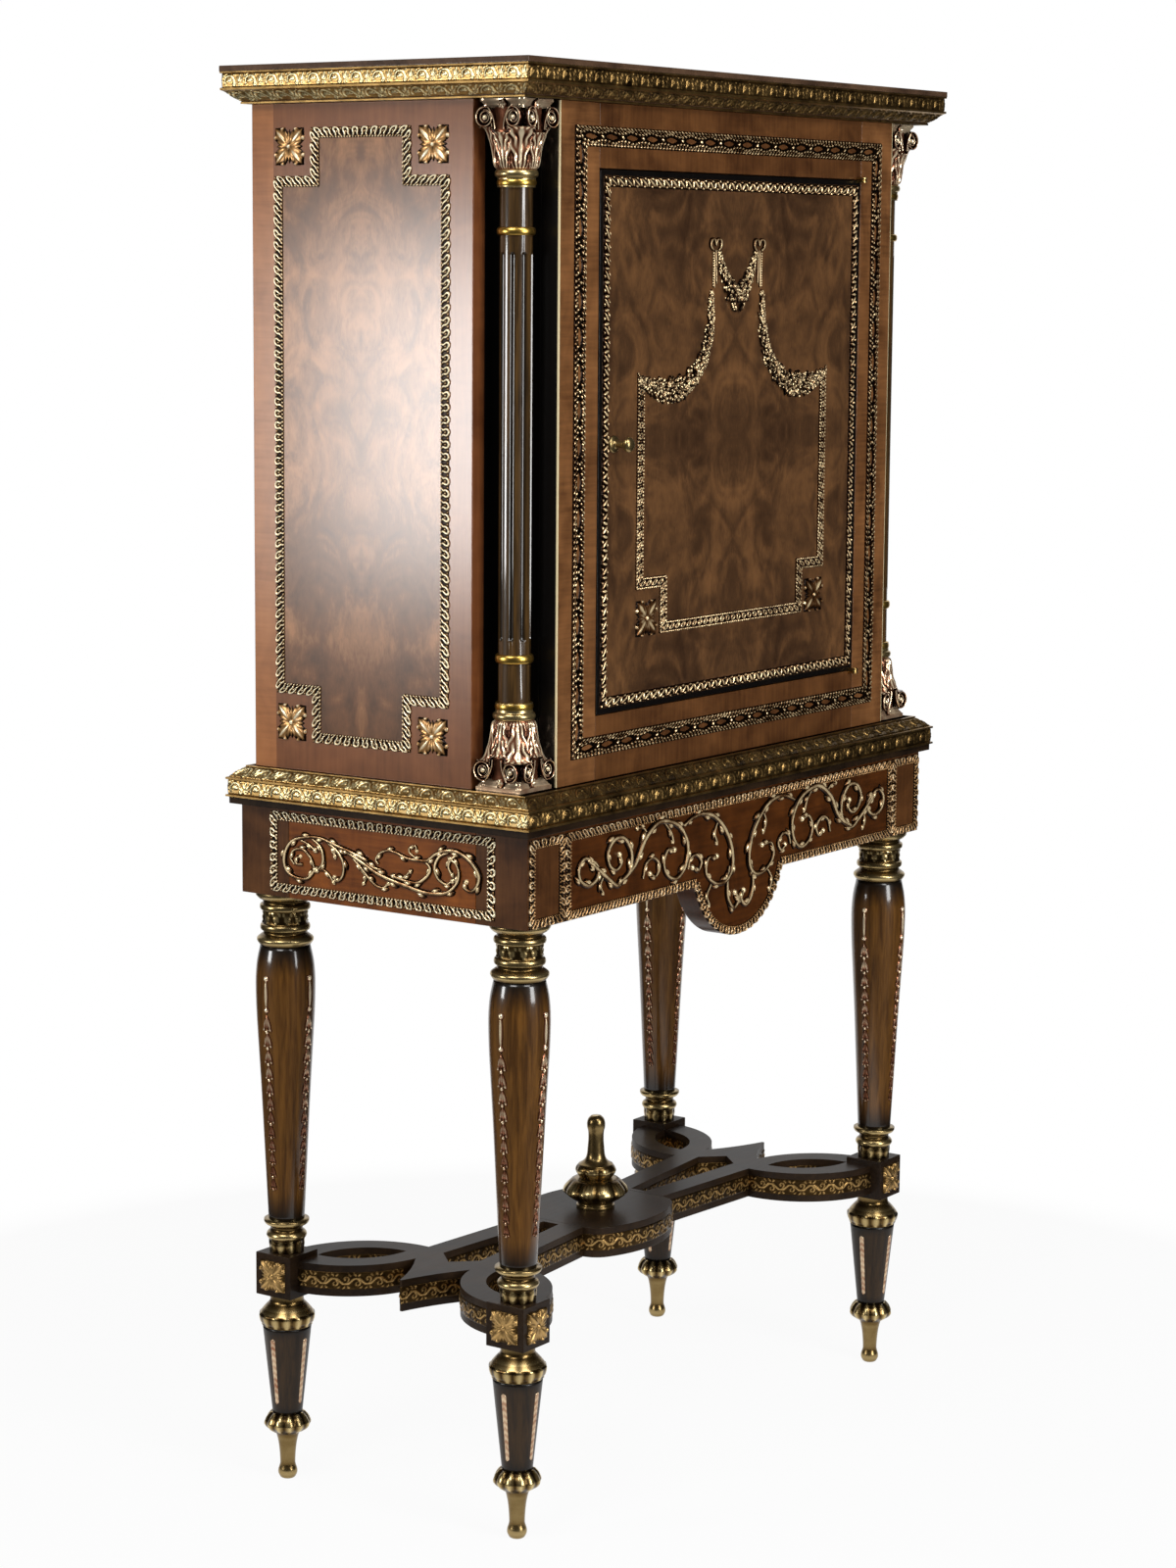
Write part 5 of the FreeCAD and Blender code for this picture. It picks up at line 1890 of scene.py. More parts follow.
    def rings(self) -> list[Patch]:
        """The four polished rings on the shaft."""
        patches = []
        for z, radius, half in ((1381.2, 19.5, 4.2), (1334.2, 19.3, 4.0), (912.3, 19.4, 4.6), (864.2, 19.3, 4.6)):
            angle = np.linspace(pi / 2, -pi / 2, 11)
            bulge = np.stack([16.4 + (radius - 16.4) * np.cos(angle) ** 0.7, z + half * np.sin(angle)], 1)
            patches.append(turned(bulge, self.centre, 48, tone=0.7))
        return patches


# ---------------------------------------------------------------- legs
@dataclass
class Legs:
    """The four turned legs with their cast collars, leaf drops, block plaques and feet."""

    finishes: Finishes
    x: float = 362.0
    y: float = 153.0
    shaft: Path = (
        (26.5, 588.0), (30.4, 571.0), (32.0, 550.0), (31.2, 517.0), (29.2, 483.0), (26.2, 432.0), (23.7, 381.0),
        (21.2, 330.0), (19.2, 289.0))
    collar: Path = (
        (31.3, 645.0), (31.3, 641.6), (27.4, 637.4), (23.6, 636.6), (23.5, 632.6), (26.4, 631.6), (27.0, 628.8),
        (26.4, 626.2), (23.6, 625.2), (23.2, 624.2), (23.2, 611.0), (26.0, 610.0), (26.6, 607.0), (26.0, 604.2),
        (23.4, 603.2), (23.4, 600.4), (25.4, 599.0), (30.0, 595.6), (30.2, 592.6), (26.9, 588.0))
    knee: Path = (
        (24.1, 289.0), (24.4, 286.6), (22.6, 283.6), (17.4, 281.4), (17.2, 277.2), (20.6, 274.8), (21.9, 271.6),
        (20.4, 268.4), (17.8, 266.6), (18.2, 262.0), (17.4, 257.0), (17.2, 253.0))
    cap: Path = (
        (17.9, 206.5), (17.9, 199.6), (19.0, 197.0), (20.8, 195.4), (25.6, 190.2), (29.6, 184.6), (29.4, 180.6),
        (28.2, 176.4), (26.8, 174.6), (26.8, 172.0))
    foot: Path = (
        (16.4, 74.0), (20.6, 69.6), (24.0, 61.8), (20.6, 56.6), (13.6, 52.4), (11.6, 48.0), (9.7, 39.0), (8.6, 29.0),
        (8.0, 17.2), (8.6, 14.2), (10.3, 9.4), (10.4, 5.4), (8.2, 0.9), (6.4, 0.0))

    def places(self) -> dict[str, Pair]:
        """The legs' centres in plan."""
        return {f"{depth}_{side}": (sx * self.x, sy * self.y)
                for depth, sy in (("front", -1), ("back", 1)) for side, sx in (("left", -1), ("right", 1))}

    def build(self) -> None:
        """Makes every part of the legs."""
        brass = self.finishes["olive_brass"]
        cast: dict[str, list[Patch]] = {"collars": [], "knees": [], "caps": [], "feet": []}
        drops: list[Patch] = []
        plaques: list[Patch] = []
        for name, centre in self.places().items():
            wood = divided(eased(self.shaft), 6.0)
            make_piece(f"leg_{name}_shaft", [turned(wood, centre, 56, self.shaded_ends(self.shaft))],
                       self.finishes["leg_wood"], stands_for=[f"leg_{name}"])
            shin = divided(np.array([(26.3, 172.0), (16.0, 74.0)]), 4.0)
            make_piece(f"shin_{name}_shaft", [turned(shin, centre, 48, self.shaded_ends(shin))],
                       self.finishes["shin_wood"], stands_for=[f"shin_{name}"])
            cast["collars"].append(self.cast(self.collar, centre, self.chevrons))
            cast["knees"].append(self.cast(self.knee, centre, self.leaf_cup(252.0, 267.0, 10, 0.9)))
            cast["caps"].append(self.cast(self.cap, centre, self.leaf_cup(172.0, 186.0, 14, 0.7)))
            cast["feet"].append(self.cast(self.foot, centre, self.leaf_cup(52.0, 75.0, 12, 1.5)))
            drops += self.leaf_drops(centre) + self.inlays(centre)
            plaques += self.plaques(centre)
        for part, node in (("collars", "leg_collars"), ("knees", "knee_mounts"), ("caps", "shin_collars"),
                           ("feet", "feet")):
            make_piece(f"leg_{part}_cast", cast[part], brass, stands_for=[node])
        make_piece("leg_drops", drops, self.finishes["bright_ormolu"])
        make_piece("block_plaques", plaques, self.finishes["strip_brass"])

    def shaded_ends(self, profile: Sequence) -> Relief:
        """No relief; painted shade: the tone falls to black near both ends, where the shaft meets the brass, over a
        tenth of the length.

        Args:
            profile: (radius, height) points.

        Returns:
            The relief.
        """
        high, low = max(p[1] for p in profile), min(p[1] for p in profile)

        def relief(theta: Array, z: Array) -> Field:
            """No height, and painted shade by the distance from the nearer end."""
            near = np.minimum(high - z, z - low)
            return np.zeros(theta.shape), np.clip(near / (high - low) * 10, 0, 1) ** 1.4

        return relief

    def cast(self, profile: Path, centre: Pair, relief: Relief) -> Patch:
        """A cast part whose tone follows its swellings and its own relief.

        Args:
            profile: (radius, height) points.
            centre: the leg's centre in plan.
            relief: its relief, with a tone below 0 where the swellings' own counts.

        Returns:
            The surface.
        """
        path = divided(eased(profile, 2, 0.2), 1.6)
        average = np.convolve(np.pad(path[:, 0], 4, mode="edge"), np.full(9, 1 / 9), "valid")
        swell = np.clip(0.55 + (path[:, 0] - average) * 0.22, 0.1, 1.0)[::-1 if path[0, 1] < path[-1, 1] else 1]

        def shaded(theta: Array, z: Array) -> Field:
            """The relief, with the swellings' tone where it has none."""
            height, tone = relief(theta, z)
            base = swell[:, None] * np.ones(theta.shape)
            return height, np.where(tone < 0, base, tone)

        return turned(path, centre, 72, shaded)

    def chevrons(self, theta: Array, z: Array) -> Field:
        """A ring of pointed leaves on the collar's dark band.

        Args:
            theta: angles.
            z: heights.

        Returns:
            The heights and tones.
        """
        inside = (z > 611.6) & (z < 624.0)
        rise = np.clip((z - 611.6) / 12.4, 0, 1)
        cell = (theta / TAU * 12) % 1 - 0.5
        leaf = np.clip(1 - (np.abs(cell) / (0.12 + 0.34 * rise)) ** 2, 0, None) ** 0.5
        rib = np.clip(1 - (np.abs(np.abs(cell) - 0.36 * rise) / 0.09) ** 2, 0, None)
        height = np.where(inside, 0.5 * leaf * (1 - rise * 0.5) + 0.9 * rib, 0.0)
        return height, np.where(inside, np.clip(0.3 + height / 1.3, 0.0, 1), -1.0)

    def leaf_cup(self, low: float, high: float, leaves: int, relief_height: float) -> Relief:
        """Upright ribbed leaves round a swelling, between two heights.

        Args:
            low: the leaves' foot.
            high: their tips.
            leaves: how many.
            relief_height: how far they stand off.

        Returns:
            The relief.
        """
        def relief(theta: Array, z: Array) -> Field:
            """The leaves' height and tone."""
            inside = (z > low) & (z < high)
            rise = np.clip((z - low) / (high - low), 0, 1)
            cell = (theta / TAU * leaves) % 1 - 0.5
            width = 0.46 * np.sqrt(np.clip(1 - (2 * rise - 1) ** 2, 0.02, 1))
            leaf = np.clip(1 - (cell / width) ** 2, 0, None) ** 0.5
            rib = np.exp(-(cell / 0.05) ** 2) * 0.35
            height = np.where(inside, relief_height * (leaf + rib * (leaf > 0)), 0.0)
            return height, np.where(inside, np.clip(0.18 + height / relief_height * 0.5, 0, 1), -1.0)

        return relief

    def drop_marks(self) -> list[Bump]:
        """A ball, a rod and a string of husks that grow smaller, from s = 0 down to s = 241."""
        marks = [Bump(3, 0, 3.4, 3.4, 3.2), Bump(20, 0, 19, 2.1, 3.0), Bump(37, 0, 2.8, 3.4, 3.0)]
        s, length = 42.0, 18.6
        while s + length < 241:
            size = length / 18.6
            marks += [Bump(s + length * 0.4, 0, length * 0.5, 1.7 * size, 2.2 * size, 0, -0.3),
                      Bump(s + length * 0.5, 2.8 * size, length * 0.4, 1.7 * size, 2.3 * size, 12, -0.4),
                      Bump(s + length * 0.5, -2.8 * size, length * 0.4, 1.7 * size, 2.3 * size, -12, -0.4),
                      Bump(s + length * 0.86, 4.2 * size, 1.6 * size, 1.3 * size, 3.2 * size, 40),
                      Bump(s + length * 0.86, -4.2 * size, 1.6 * size, 1.3 * size, 3.2 * size, -40),
                      Bump(s + length * 0.98, 0, 2.2 * size, 1.9 * size, 3.4 * size)]
            s += length
            length *= 0.972
        return marks

    def leaf_drops(self, centre: Pair) -> list[Patch]:
        """The husk strings on a leg's four sides, laid on the turned shaft.

        Args:
            centre: the leg's centre in plan.

        Returns:
            The four strings.
        """
        top, length, width, rows, columns = 558.0, 244.0, 13.0, 168, 15
        s, t = np.meshgrid(np.linspace(0, length, rows), np.linspace(-width / 2, width / 2, columns), indexing="ij")
        height = np.full(s.shape, -0.5)
        for mark in self.drop_marks():
            height = np.maximum(height, mark.rise(s, t) - 0.5)
        tone = np.clip((height + 0.4) / 2.9, 0, 1)
        height[[0, -1]] = height[:, [0, -1]] = -0.5
        profile = eased(self.shaft)[::-1]
        z = top - s
        radius = np.interp(z, profile[:, 1], profile[:, 0]) + height
        return [sheet(around(centre, radius, turn * pi / 2 + t / radius, z), tone) for turn in range(4)]

    def inlays(self, centre: Pair) -> list[Patch]:
        """Brass flutes with round ends on the shin's four sides.

        Args:
            centre: the leg's centre in plan.

        Returns:
            The four flutes.
        """
        low, high, rows, columns = 86.0, 160.0, 60, 7
        z, q = np.meshgrid(np.linspace(high, low, rows), np.linspace(-1, 1, columns), indexing="ij")
        half = 3.6 * np.sqrt(np.clip(1 - (np.clip(np.abs(z - 123) - 34.0, 0, None) / 3.0) ** 2, 0.0, 1))
        half *= 0.72 + 0.28 * (z - low) / (high - low)
        base = 16.0 + (26.3 - 16.0) * (z - 74) / 98
        wave = np.cos((z + 3 * np.abs(q)) * TAU / 7)
        radius = base + (1.05 * np.sqrt(np.clip(1 - q ** 2, 0, 1)) - 0.3)
        return [sheet(around(centre, radius, turn * pi / 2 + q * half / base, z), 0.6 + 0.05 * wave)
                for turn in range(4)]

    def plaques(self, centre: Pair) -> list[Patch]:
        """Square rosettes on the two outer faces of a stretcher block.

        Args:
            centre: the block's centre in plan.

        Returns:
            The rosettes.
        """
        x, y = centre
        half, middle = 23.5, 229.7
        side = on_side(x + copysign(half, x))
        flower = rosette(33.0, 0.7, -1.6)
        end = on_front(y - half) if y < 0 else Place((0, y + half, 0), (-1, 0, 0))
        return [lone(side, (copysign(y, x * y), middle), flower), lone(end, (copysign(x, -x * y), middle), flower)]


# ---------------------------------------------------------------- stretcher
@dataclass
class Stretcher:
    """The brass strips round the pierced stretcher and the finial in its middle."""

    finishes: Finishes
    band: Pair = (219.5, 239.5)
    top: float = 246.5
    pitch: float = 24.0
    relief: float = 0.55
    nodes: tuple[str, ...] = ("stretcher_left", "stretcher_right", "stretcher_platform")

    def build(self) -> None:
        """Makes the strips and the finial."""
        strips = [self.strip_round(loop) for node in self.nodes for loop in outline_loops(node, self.top)]
        make_piece("stretcher_strips", strips, self.finishes["strip_brass"])
        make_piece("finial_cast", self.finial(), self.finishes["olive_brass"], stands_for=["finial"])

    def strip_round(self, loop: Array) -> Patch:
        """An embossed strip along a closed outline in plan, the wood on its left.

        Args:
            loop: the outline's points.

        Returns:
            The strip.
        """
        motif = vine(self.pitch, self.band[1] - self.band[0])
        middle, left, height, tone = carried(np.concatenate([loop, loop[:1]]), motif, True)
        flat = middle - left * height[..., None] * self.relief
        z = np.broadcast_to(np.linspace(*self.band, motif.columns), height.shape)
        return sheet(np.concatenate([flat, z[..., None]], -1), tone, True)

    def finial(self) -> list[Patch]:
        """The leafy bowl, the leaf cup and the stem that ends in a ball."""
        z = self.top
        bowl = divided(eased([(21.8, z), (21.8, z + 3.2), (20.0, z + 4), (20.0, z + 7.4), (26.0, z + 9),
                              (35.6, z + 17), (36.0, z + 19.6), (34.5, z + 23.6), (29.5, z + 30.2), (26.6, z + 33),
                              (16.0, z + 33.6)], 2), 1.4)
        cup = divided(eased([(14.5, z + 29.5), (19.4, z + 36), (22.8, z + 42.5), (21.3, z + 48.6), (15.7, z + 51.6),
                             (11.8, z + 55.2), (10.0, z + 60.6), (9.3, z + 69.6), (8.6, z + 77.6), (8.7, z + 87),
                             (10.2, z + 92), (10.4, z + 97), (9.0, z + 102), (5.6, z + 105.1)], 2), 1.4)

        def leaves(low: float, high: float, count: int, rise: float) -> Relief:
            """Ribbed leaves between two heights, as many and as high as given."""
            def relief(theta: Array, level: Array) -> Field:
                """The leaves' height and tone."""
                inside = (level > low) & (level < high)
                up = np.clip((level - low) / (high - low), 0, 1)
                cell = (theta / TAU * count) % 1 - 0.5
                leaf = np.clip(1 - (cell / 0.47) ** 2, 0, None) ** 0.5 * np.sin(pi * np.clip(up, 0.04, 0.96)) ** 0.5
                ribs = 0.3 * np.cos(cell * 5 * TAU) * leaf
                height = np.where(inside, rise * (leaf + ribs), 0.0)
                return (height - rise * inside * 0.6,
                        np.where(inside, np.clip(0.18 + 0.6 * height / rise, 0.05, 1), 0.55))

            return relief

        return [turned(bowl, segments=96, relief=leaves(z + 9, z + 33, 10, 2.4)),
                turned(cup, segments=72, relief=leaves(z + 30, z + 49, 8, 1.9))]


def outline_loops(node: str, height: float) -> list[Array]:
    """The closed outlines of a board's top face, in plan and in mm, each with the board on its left.

    Args:
        node: the CAD node.
        height: the top face's height in mm.

    Returns:
        The loops as (n, 2) arrays, with the stretches that other boards cover still in them.
    """
    work = bmesh.new()
    work.from_mesh(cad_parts[node].data)
    bmesh.ops.remove_doubles(work, verts=work.verts, dist=WELD)
    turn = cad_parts[node].matrix_world
    top = [f for f in work.faces
           if f.normal.z > FACES_UP and all(abs((turn @ v.co).z / MM - height) < LEVEL for v in f.verts)]
    following = {}
    for face in top:
        for loop in face.loops:
            twin = [other for other in loop.edge.link_faces if other is not face]
            if not twin or twin[0] not in top:
                following[loop.vert] = loop.link_loop_next.vert
    loops = []
    while following:
        start = vertex = next(iter(following))
        points = []
        while vertex in following:
            points.append((turn @ vertex.co).xy[:])
            vertex = following.pop(vertex)
            if vertex is start:
                break
        loops.append(np.array(points) / MM)
    work.free()
    return loops


# ---------------------------------------------------------------- scrollwork of the apron
@dataclass(frozen=True)
class Stroke:
    """One stem of the scrollwork: its points in mm, its half widths and the length of the leaf at its tip."""

    points: Path
    radii: tuple[float, ...]
    leaf: float = 0.0

    def patches(self, place: Place, flip: float, swell: float) -> list[Patch]:
        """The stem, its leaf and a bead at its tip where it has none.

        Args:
            place: the plane that carries it.
            flip: -1 or 1, which multiplies the points' first value.
            swell: multiplies the half widths.

        Returns:
            The surfaces.
        """
        path = [(flip * a, b) for a, b in self.points]
        radii = [r * swell for r in self.radii]
        made = [tube(place, path, radii, 0.8, 10, 1.6, 1.15, 0.5), self.leaflets(place, path, radii)]
        (a, b), (c, d) = path[-2:]
        turn = degrees(atan2(d - b, c - a))
        if self.leaf:
            marks = fan(-self.leaf * 0.35, 0, self.leaf, 30, 5, 1.35, 3.2, 0)
            sprig = Motif(self.leaf * 1.7, self.leaf * 1.3, marks, ground=-0.5, rows=18, columns=16)
            made.append(lone(place, (c, d), sprig, turn))
        else:
            made.append(berry_shape().placed(place, radii[-1] * 1.8, (c, d, 0)))
        return made

    def leaflets(self, place: Place, points: Path, radii: Sequence[float]) -> Patch:
        """Small pointed leaves that lean forward from both sides of the stem, one every few millimetres.

        Args:
            place: the plane.
            points: the stem's points.
            radii: its half widths.

        Returns:
            The leaves.
        """
        path = smooth(points)
        lengths = reach(path)
        count = max(1, int(lengths[-1] / 17.0))
        at = (np.arange(count) + 0.6) / count * lengths[-1]
        tangent = np.gradient(path, axis=0)
        heading = np.interp(at, lengths, np.unwrap(np.arctan2(tangent[:, 1], tangent[:, 0])))
        side = np.where(np.arange(count) % 2, 1.0, -1.0)
        radius = np.interp(at / lengths[-1], np.linspace(0, 1, len(radii)), radii)
        lean = heading + side * 0.16
        size = 4.6 + 1.2 * radius
        x = np.interp(at, lengths, path[:, 0]) - np.sin(heading) * side * radius * 1.1
        y = np.interp(at, lengths, path[:, 1]) + np.cos(heading) * side * radius * 1.1
        spots = np.stack([x, y, np.zeros(count)], 1)
        return scattered(leaf_shape(), spots, size, lean, np.zeros(count)).placed(place)


@dataclass
class Scrollwork:
    """Leafy scrolls in the apron's panels: one long design on each end, a mirrored one on the front."""

    finishes: Finishes
    side_x: float = 394.0
    front_y: float = -185.0
    end_strokes: tuple[Stroke, ...] = (
        Stroke(((16, 696), (39, 703), (59, 708), (78, 713), (98, 712), (114, 707), (123, 697), (126, 684),
                (121, 673), (109, 668), (95, 669), (85, 679)), (3.0, 2.2, 1.9, 2.1, 2.6, 2.2, 1.8), 9),
        Stroke(((85, 679), (74, 680), (66, 675), (61, 669)), (1.6, 1.2), 7),
        Stroke(((113, 682), (118, 689), (113, 697), (102, 699), (94, 694), (89, 688), (86, 680)), (1.2, 1.8, 1.4), 8),
        Stroke(((102, 683), (110, 683), (111, 688), (105, 691)), (1.8, 1.3)),
        Stroke(((89, 711), (78, 704), (74, 695), (75, 686), (82, 679)), (1.2, 2.3, 1.6), 8),
        Stroke(((70, 710), (56, 702), (48, 692), (47, 681), (51, 673), (57, 670), (60, 674)), (1.1, 2.2, 2.0, 1.3)),
        Stroke(((68, 708), (61, 703), (59, 696)), (1.0, 1.4), 7),
        Stroke(((59, 708), (36, 699), (20, 692), (3, 684), (-15, 679), (-35, 675), (-56, 671), (-72, 671),
                (-87, 674), (-98, 684), (-101, 695), (-97, 704), (-90, 708)), (1.8, 2.6, 2.9, 3.0, 2.6, 2.0, 1.4), 8),
        Stroke(((36, 697), (24, 687), (13, 677), (4, 671), (-5, 670), (-11, 675)), (1.2, 1.8, 1.4)),
        Stroke(((24, 685), (18, 678), (21, 672)), (1.2, 1.4), 6),
        Stroke(((2, 694), (5, 698), (0, 705), (-10, 709), (-21, 708), (-34, 704), (-48, 703), (-61, 704), (-71, 711),
                (-83, 716), (-97, 717), (-111, 712), (-122, 703), (-127, 693), (-123, 683), (-115, 678), (-107, 682),
                (-110, 687)), (1.4, 1.6, 2.0, 2.2, 2.6, 3.0, 2.4, 1.6)),
        Stroke(((-46, 705), (-38, 710), (-39, 716), (-46, 717), (-47, 712)), (0.9, 1.2)),
        Stroke(((-58, 703), (-65, 696), (-61, 688), (-49, 680), (-34, 680), (-18, 683)), (1.6, 2.2, 1.8), 9),
        Stroke(((-24, 680), (-33, 685), (-39, 690)), (1.2, 1.4), 7),
        Stroke(((-88, 715), (-76, 709), (-71, 698), (-75, 687), (-85, 682), (-92, 686)), (1.6, 2.4, 1.4), 8),
        Stroke(((-101, 715), (-91, 708), (-88, 700), (-92, 693)), (1.2, 1.8), 7),
        Stroke(((104, 708), (94, 705), (86, 700)), (1.2, 1.6), 9),
        Stroke(((-2, 688), (10, 690), (19, 694)), (1.8, 2.4), 10),
    )
    front_strokes: tuple[Stroke, ...] = (
        Stroke(((-291, 703), (-279, 699), (-272, 690), (-277, 681), (-291, 677), (-305, 684), (-308, 696), (-299, 705),
                (-288, 703), (-284, 694)), (1.4, 2.4, 2.2, 1.6), 7),
        Stroke(((-291, 703), (-270, 689), (-252, 677), (-237, 669), (-225, 675)), (1.8, 2.6, 1.8), 8),
        Stroke(((-236, 671), (-216, 681), (-213, 700), (-226, 717), (-244, 718), (-256, 706), (-252, 692), (-240, 686),
                (-230, 692), (-233, 701)), (2.2, 2.6, 2.2, 1.4)),
        Stroke(((-236, 669), (-207, 686), (-189, 710), (-165, 725), (-142, 724), (-121, 715), (-108, 699), (-106, 684),
                (-113, 669), (-127, 661), (-144, 667), (-151, 681), (-143, 694), (-130, 692)),
               (2.0, 3.0, 2.6, 2.6, 2.0, 1.4)),
        Stroke(((-190, 670), (-184, 685), (-170, 689), (-159, 679), (-166, 669), (-176, 673)), (1.4, 1.8, 1.3)),
        Stroke(((-104, 668), (-99, 679), (-87, 681), (-78, 672), (-85, 663), (-94, 668)), (1.4, 1.8, 1.3)),
        Stroke(((-112, 716), (-96, 722), (-76, 724), (-54, 718), (-34, 703), (-20, 682), (-17, 659), (-29, 645),
                (-50, 645), (-68, 658), (-64, 674), (-46, 674)), (1.6, 2.4, 2.8, 2.6, 1.8, 1.3)),
        Stroke(((-22, 660), (-26, 642), (-24, 624), (-13, 613), (-3, 620), (-9, 629)), (1.6, 2.4, 1.4)),
        Stroke(((-46, 712), (-52, 700), (-48, 690)), (1.2, 1.6), 9),
        Stroke(((-150, 724), (-138, 712), (-134, 703)), (1.2, 1.7), 9),
        Stroke(((-182, 716), (-190, 723), (-200, 724)), (1.2, 1.5), 8),
        Stroke(((-58, 645), (-66, 634), (-62, 624)), (1.2, 1.6), 9),
        Stroke(((-262, 683), (-268, 674), (-264, 666)), (1.2, 1.5), 8),
    )

    def build(self) -> None:
        """Makes the designs of both ends and the front."""
        # Both designs take the darker copy of the ormolu, which is painted shade.
        ends = [p for side in (-1, 1) for stroke in self.end_strokes
                for p in stroke.patches(on_side(side * self.side_x), side, 1.05)]
        make_piece("apron_end_scrolls", ends, self.finishes["dim_ormolu"])
        front = [p for side in (-1, 1) for stroke in self.front_strokes
                 for p in stroke.patches(on_front(self.front_y), side, 1.35)]
        make_piece("apron_front_scrolls", front + [self.middle()], self.finishes["dim_ormolu"])

    def middle(self) -> Patch:
        """The upright leaf on the front's middle line."""
        marks = fan(0, -8, 15, 34, 5, 1.6, 2.6, 90)
        leaf = Motif(50, 60, marks, ground=-0.5, rows=40, columns=46)
        return lone(on_front(self.front_y), (0, 622), leaf)


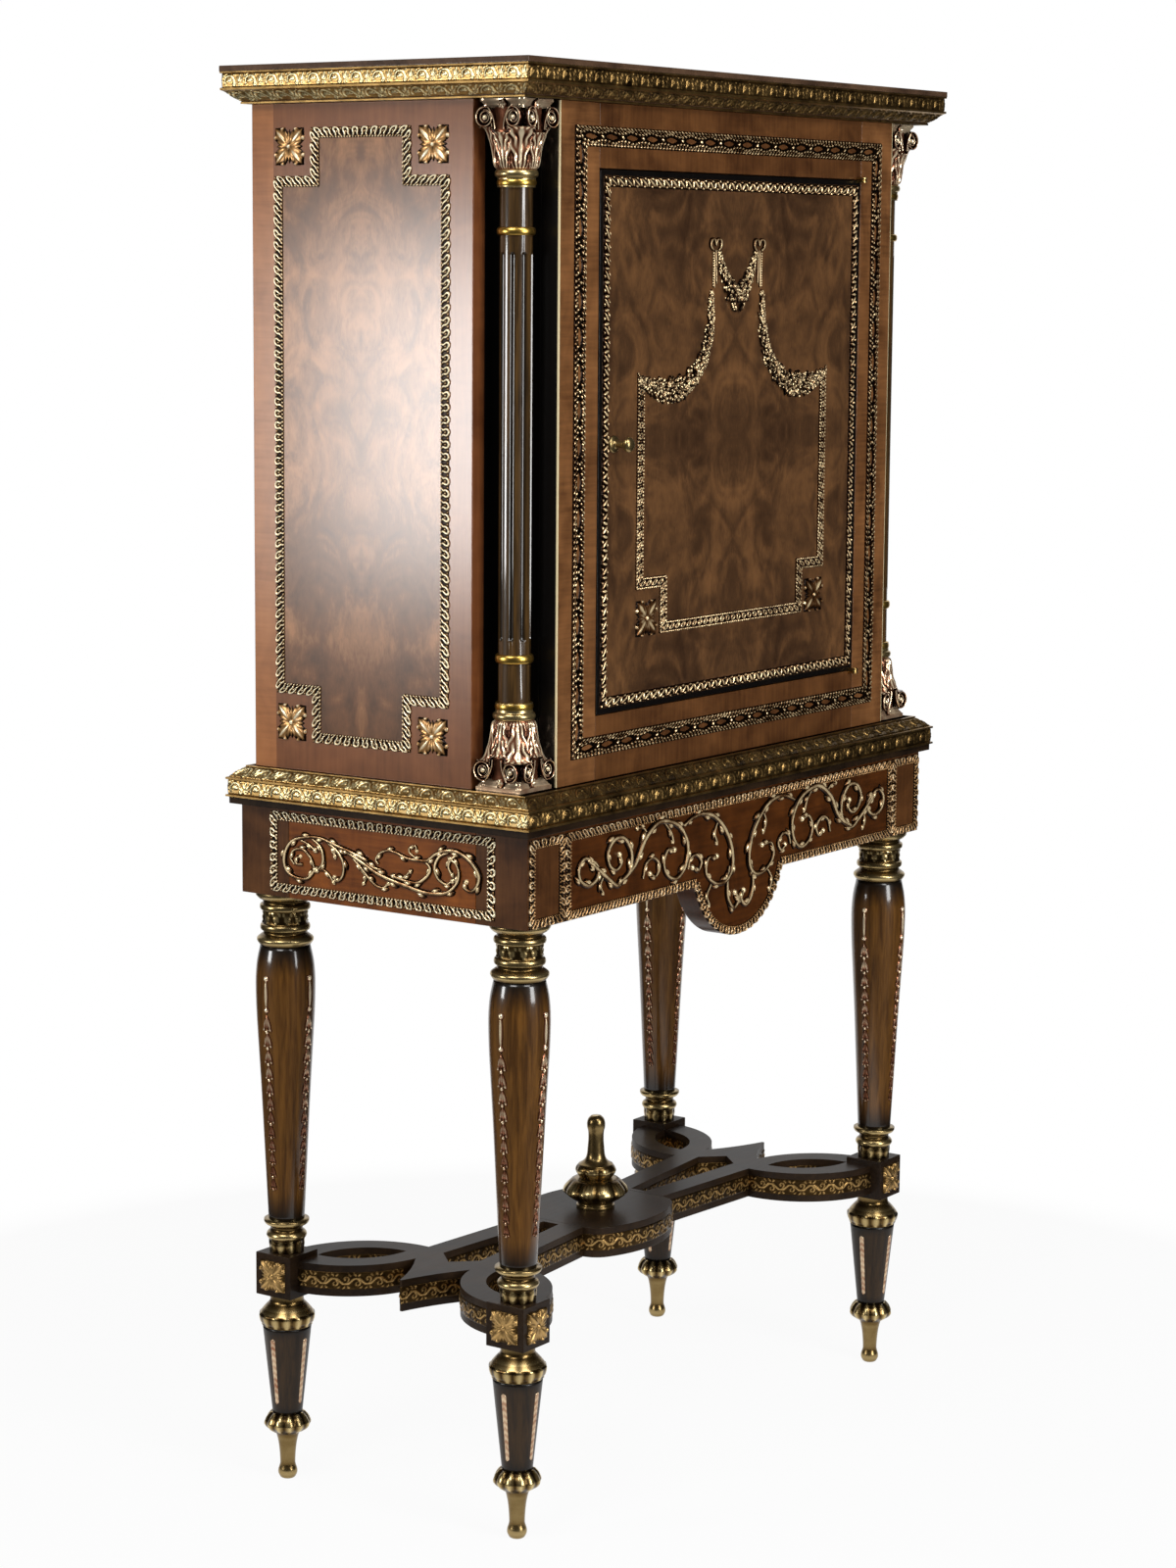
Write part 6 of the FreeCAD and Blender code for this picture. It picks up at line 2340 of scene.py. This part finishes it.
# ---------------------------------------------------------------- door furniture
@dataclass
class DoorFurniture:
    """What is fixed to the door: the leaf garland with its ribbons and bows, and the turned knob."""

    finishes: Finishes
    face: float = -171.5
    knob: Pair = (-230.0, 1121.75)
    swag: Path = (
        (-186, 1188), (-169, 1180), (-147, 1174), (-121, 1173), (-98, 1178), (-80, 1189), (-67, 1202), (-58, 1217),
        (-53, 1233), (-50, 1251), (-50, 1275))
    swag_widths: tuple[float, ...] = (2.6, 9.0, 12.0, 13.5, 13.5, 12.0, 10.0, 8.6, 8.0, 6.6, 3.0)
    festoon: Path = ((-36, 1317), (-30, 1300), (-20, 1284), (-8, 1271), (0, 1266))
    festoon_widths: tuple[float, ...] = (2.6, 5.2, 8.6, 12.5, 14.5)
    seed: int = 7

    def build(self) -> None:
        """Makes the garland, the ribbons and the knob."""
        place = on_front(self.face)
        half = (self.foliage(self.swag, self.swag_widths, 250, 32, 210)
                + self.foliage(self.festoon, self.festoon_widths, 90, 8, 70))
        both = half + [p.on(p.points * (-1, 1, 1), True) for p in half]
        # The garland and the ribbons take the darker copy of the ormolu, which is painted shade.
        make_piece("door_garland", [p.placed(place) for p in both], self.finishes["dim_ormolu"], Body.DOOR)
        ribbons = [p for side in (-1, 1) for p in self.ribbons(place, side)]
        make_piece("door_ribbons", ribbons, self.finishes["dim_ormolu"], Body.DOOR)
        make_piece("door_knob_turned", self.turned_knob(), self.finishes["olive_brass"], Body.DOOR,
                   ["door_knob"])

    def foliage(self, corners: Path, widths: Sequence[float], leaves: int, flowers: int,
                berries: int) -> list[Patch]:
        """Leaves, flowers and berries heaped along a path, drawn in (across, up, outwards).

        Args:
            corners: the path's points.
            widths: half widths of the heap, one for each point.
            leaves: how many leaves.
            flowers: how many flowers.
            berries: how many berries.

        Returns:
            The heap.
        """
        chance = np.random.default_rng(self.seed)
        path = eased(corners, 3)
        lengths = reach(path)
        share = np.interp(lengths / lengths[-1], np.linspace(0, 1, len(widths)), widths)
        tangent = np.gradient(path, axis=0)
        heading = np.unwrap(np.arctan2(tangent[:, 1], tangent[:, 0]))

        def spread(count: int, aside_to: float, level: float, dome: float) -> tuple[Array, Array, Array]:
            """Places along and across the heap, their directions, and the heap's half width there."""
            pick = (np.arange(count) + chance.random(count)) / count * lengths[-1]
            aside = chance.uniform(-aside_to, aside_to, count)
            half = np.interp(pick, lengths, share)
            turn = np.interp(pick, lengths, heading)
            x = np.interp(pick, lengths, path[:, 0]) - np.sin(turn) * aside * half
            y = np.interp(pick, lengths, path[:, 1]) + np.cos(turn) * aside * half
            high = level + dome * (1 - aside ** 2) * half / 11
            return np.stack([x, y, high], 1), turn + aside * 1.0, half

        at, turn, half = spread(leaves, 0.9, 0.2, 3.2)
        size = chance.uniform(3.4, 5.4, leaves) * (0.55 + 0.45 * half / 11)
        heap = [scattered(leaf_shape(), at, size, turn + chance.normal(0, 0.55, leaves),
                          chance.uniform(-0.5, 0.5, leaves))]
        at, turn, half = spread(flowers, 0.55, 1.4, 3.0)
        size = chance.uniform(3.4, 4.8, flowers) * (0.5 + 0.5 * half / 11)
        heap.append(scattered(flower_shape(), at, size, turn + chance.random(flowers) * TAU,
                              chance.uniform(-0.3, 0.3, flowers)))
        at, turn, half = spread(berries, 1.0, 0.5, 3.6)
        heap.append(scattered(berry_shape(), at, chance.uniform(0.9, 1.6, berries), turn, np.zeros(berries)))
        for part in heap:
            part.tone **= 1.7
        return heap

    def ribbons(self, place: Place, side: int) -> list[Patch]:
        """The hanging ribbon with its bow and the pointed end of the swag, on one side.

        Args:
            place: the plane.
            side: -1 or 1.

        Returns:
            The patches.
        """
        made = [
            tube(place, [(side * 45.5, 1279), (side * 45, 1300), (side * 44, 1318)], (1.3, 1.0), 0.8, 8, 3.0, 1.2),
            tube(place, [(side * 41.0, 1283), (side * 41.5, 1300), (side * 41, 1318)], (0.9, 0.8), 0.8, 8, 3.0, 1.2),
            tube(place, [(side * 50, 1276), (side * 49, 1262), (side * 50, 1250)], (1.6, 2.6, 1.4), 1.0, 8, 2.0, 1.0),
            tube(place, [(side * 37, 1318), (side * 33, 1322), (side * 34, 1328), (side * 40, 1329),
                         (side * 43, 1323)], (1.4, 2.2, 1.4), 1.0, 8, 1.6, 1.0),
            tube(place, [(side * 48, 1318), (side * 53, 1322), (side * 52, 1328), (side * 46, 1329),
                         (side * 43, 1323)], (1.4, 2.2, 1.4), 1.0, 8, 1.6, 1.0),
            tube(place, [(side * 187, 1193), (side * 183, 1186), (side * 172, 1181)], (0.8, 2.2, 1.6),
                 0.8, 8, 1.6, 1.1),
        ]
        beads = np.array([(side * 47.6, z, 1.6) for z in np.arange(1281.0, 1317.0, 2.6)])
        count = len(beads)
        made.append(scattered(berry_shape(), beads, np.ones(count), np.zeros(count), np.zeros(count)).placed(place))
        leaf = Motif(30, 20, fan(-12, 0, 22, 20, 5, 1.5, 4.0, 0), ground=-0.5, rows=24, columns=20)
        made.append(lone(place, (side * 24, 1294), leaf, 90 - side * 25))
        return made

    def turned_knob(self) -> list[Patch]:
        """A knob on a stem and a rose."""
        profile = divided(eased([(1.5, 24.0), (5.2, 23.4), (8.0, 20.6), (8.0, 18.0), (5.6, 15.6), (3.9, 14.4),
                                 (3.7, 5.0), (5.4, 3.6), (8.2, 2.6), (9.0, 1.2), (9.0, 0.0)], 2), 1.0)
        place = Place((self.knob[0], self.face, self.knob[1]), (1, 0, 0))
        return [turned(profile, segments=40, tone=0.62).placed(place)]


# ---------------------------------------------------------------- main
def main() -> None:
    """Builds the cabinet's sub-assemblies in order."""
    logging.basicConfig(level=logging.INFO, format="%(message)s")
    finishes = Finishes()
    finishes.build()
    Studio().build()
    Boards(finishes).build()
    for moulding in mouldings(finishes):
        moulding.build()
    Edgings(finishes).build()
    for side in ("left", "right"):
        Column(finishes, side).build()
    for part in (Legs, Stretcher, Scrollwork, DoorFurniture):
        part(finishes).build()


if __name__ == "__main__":
    main()
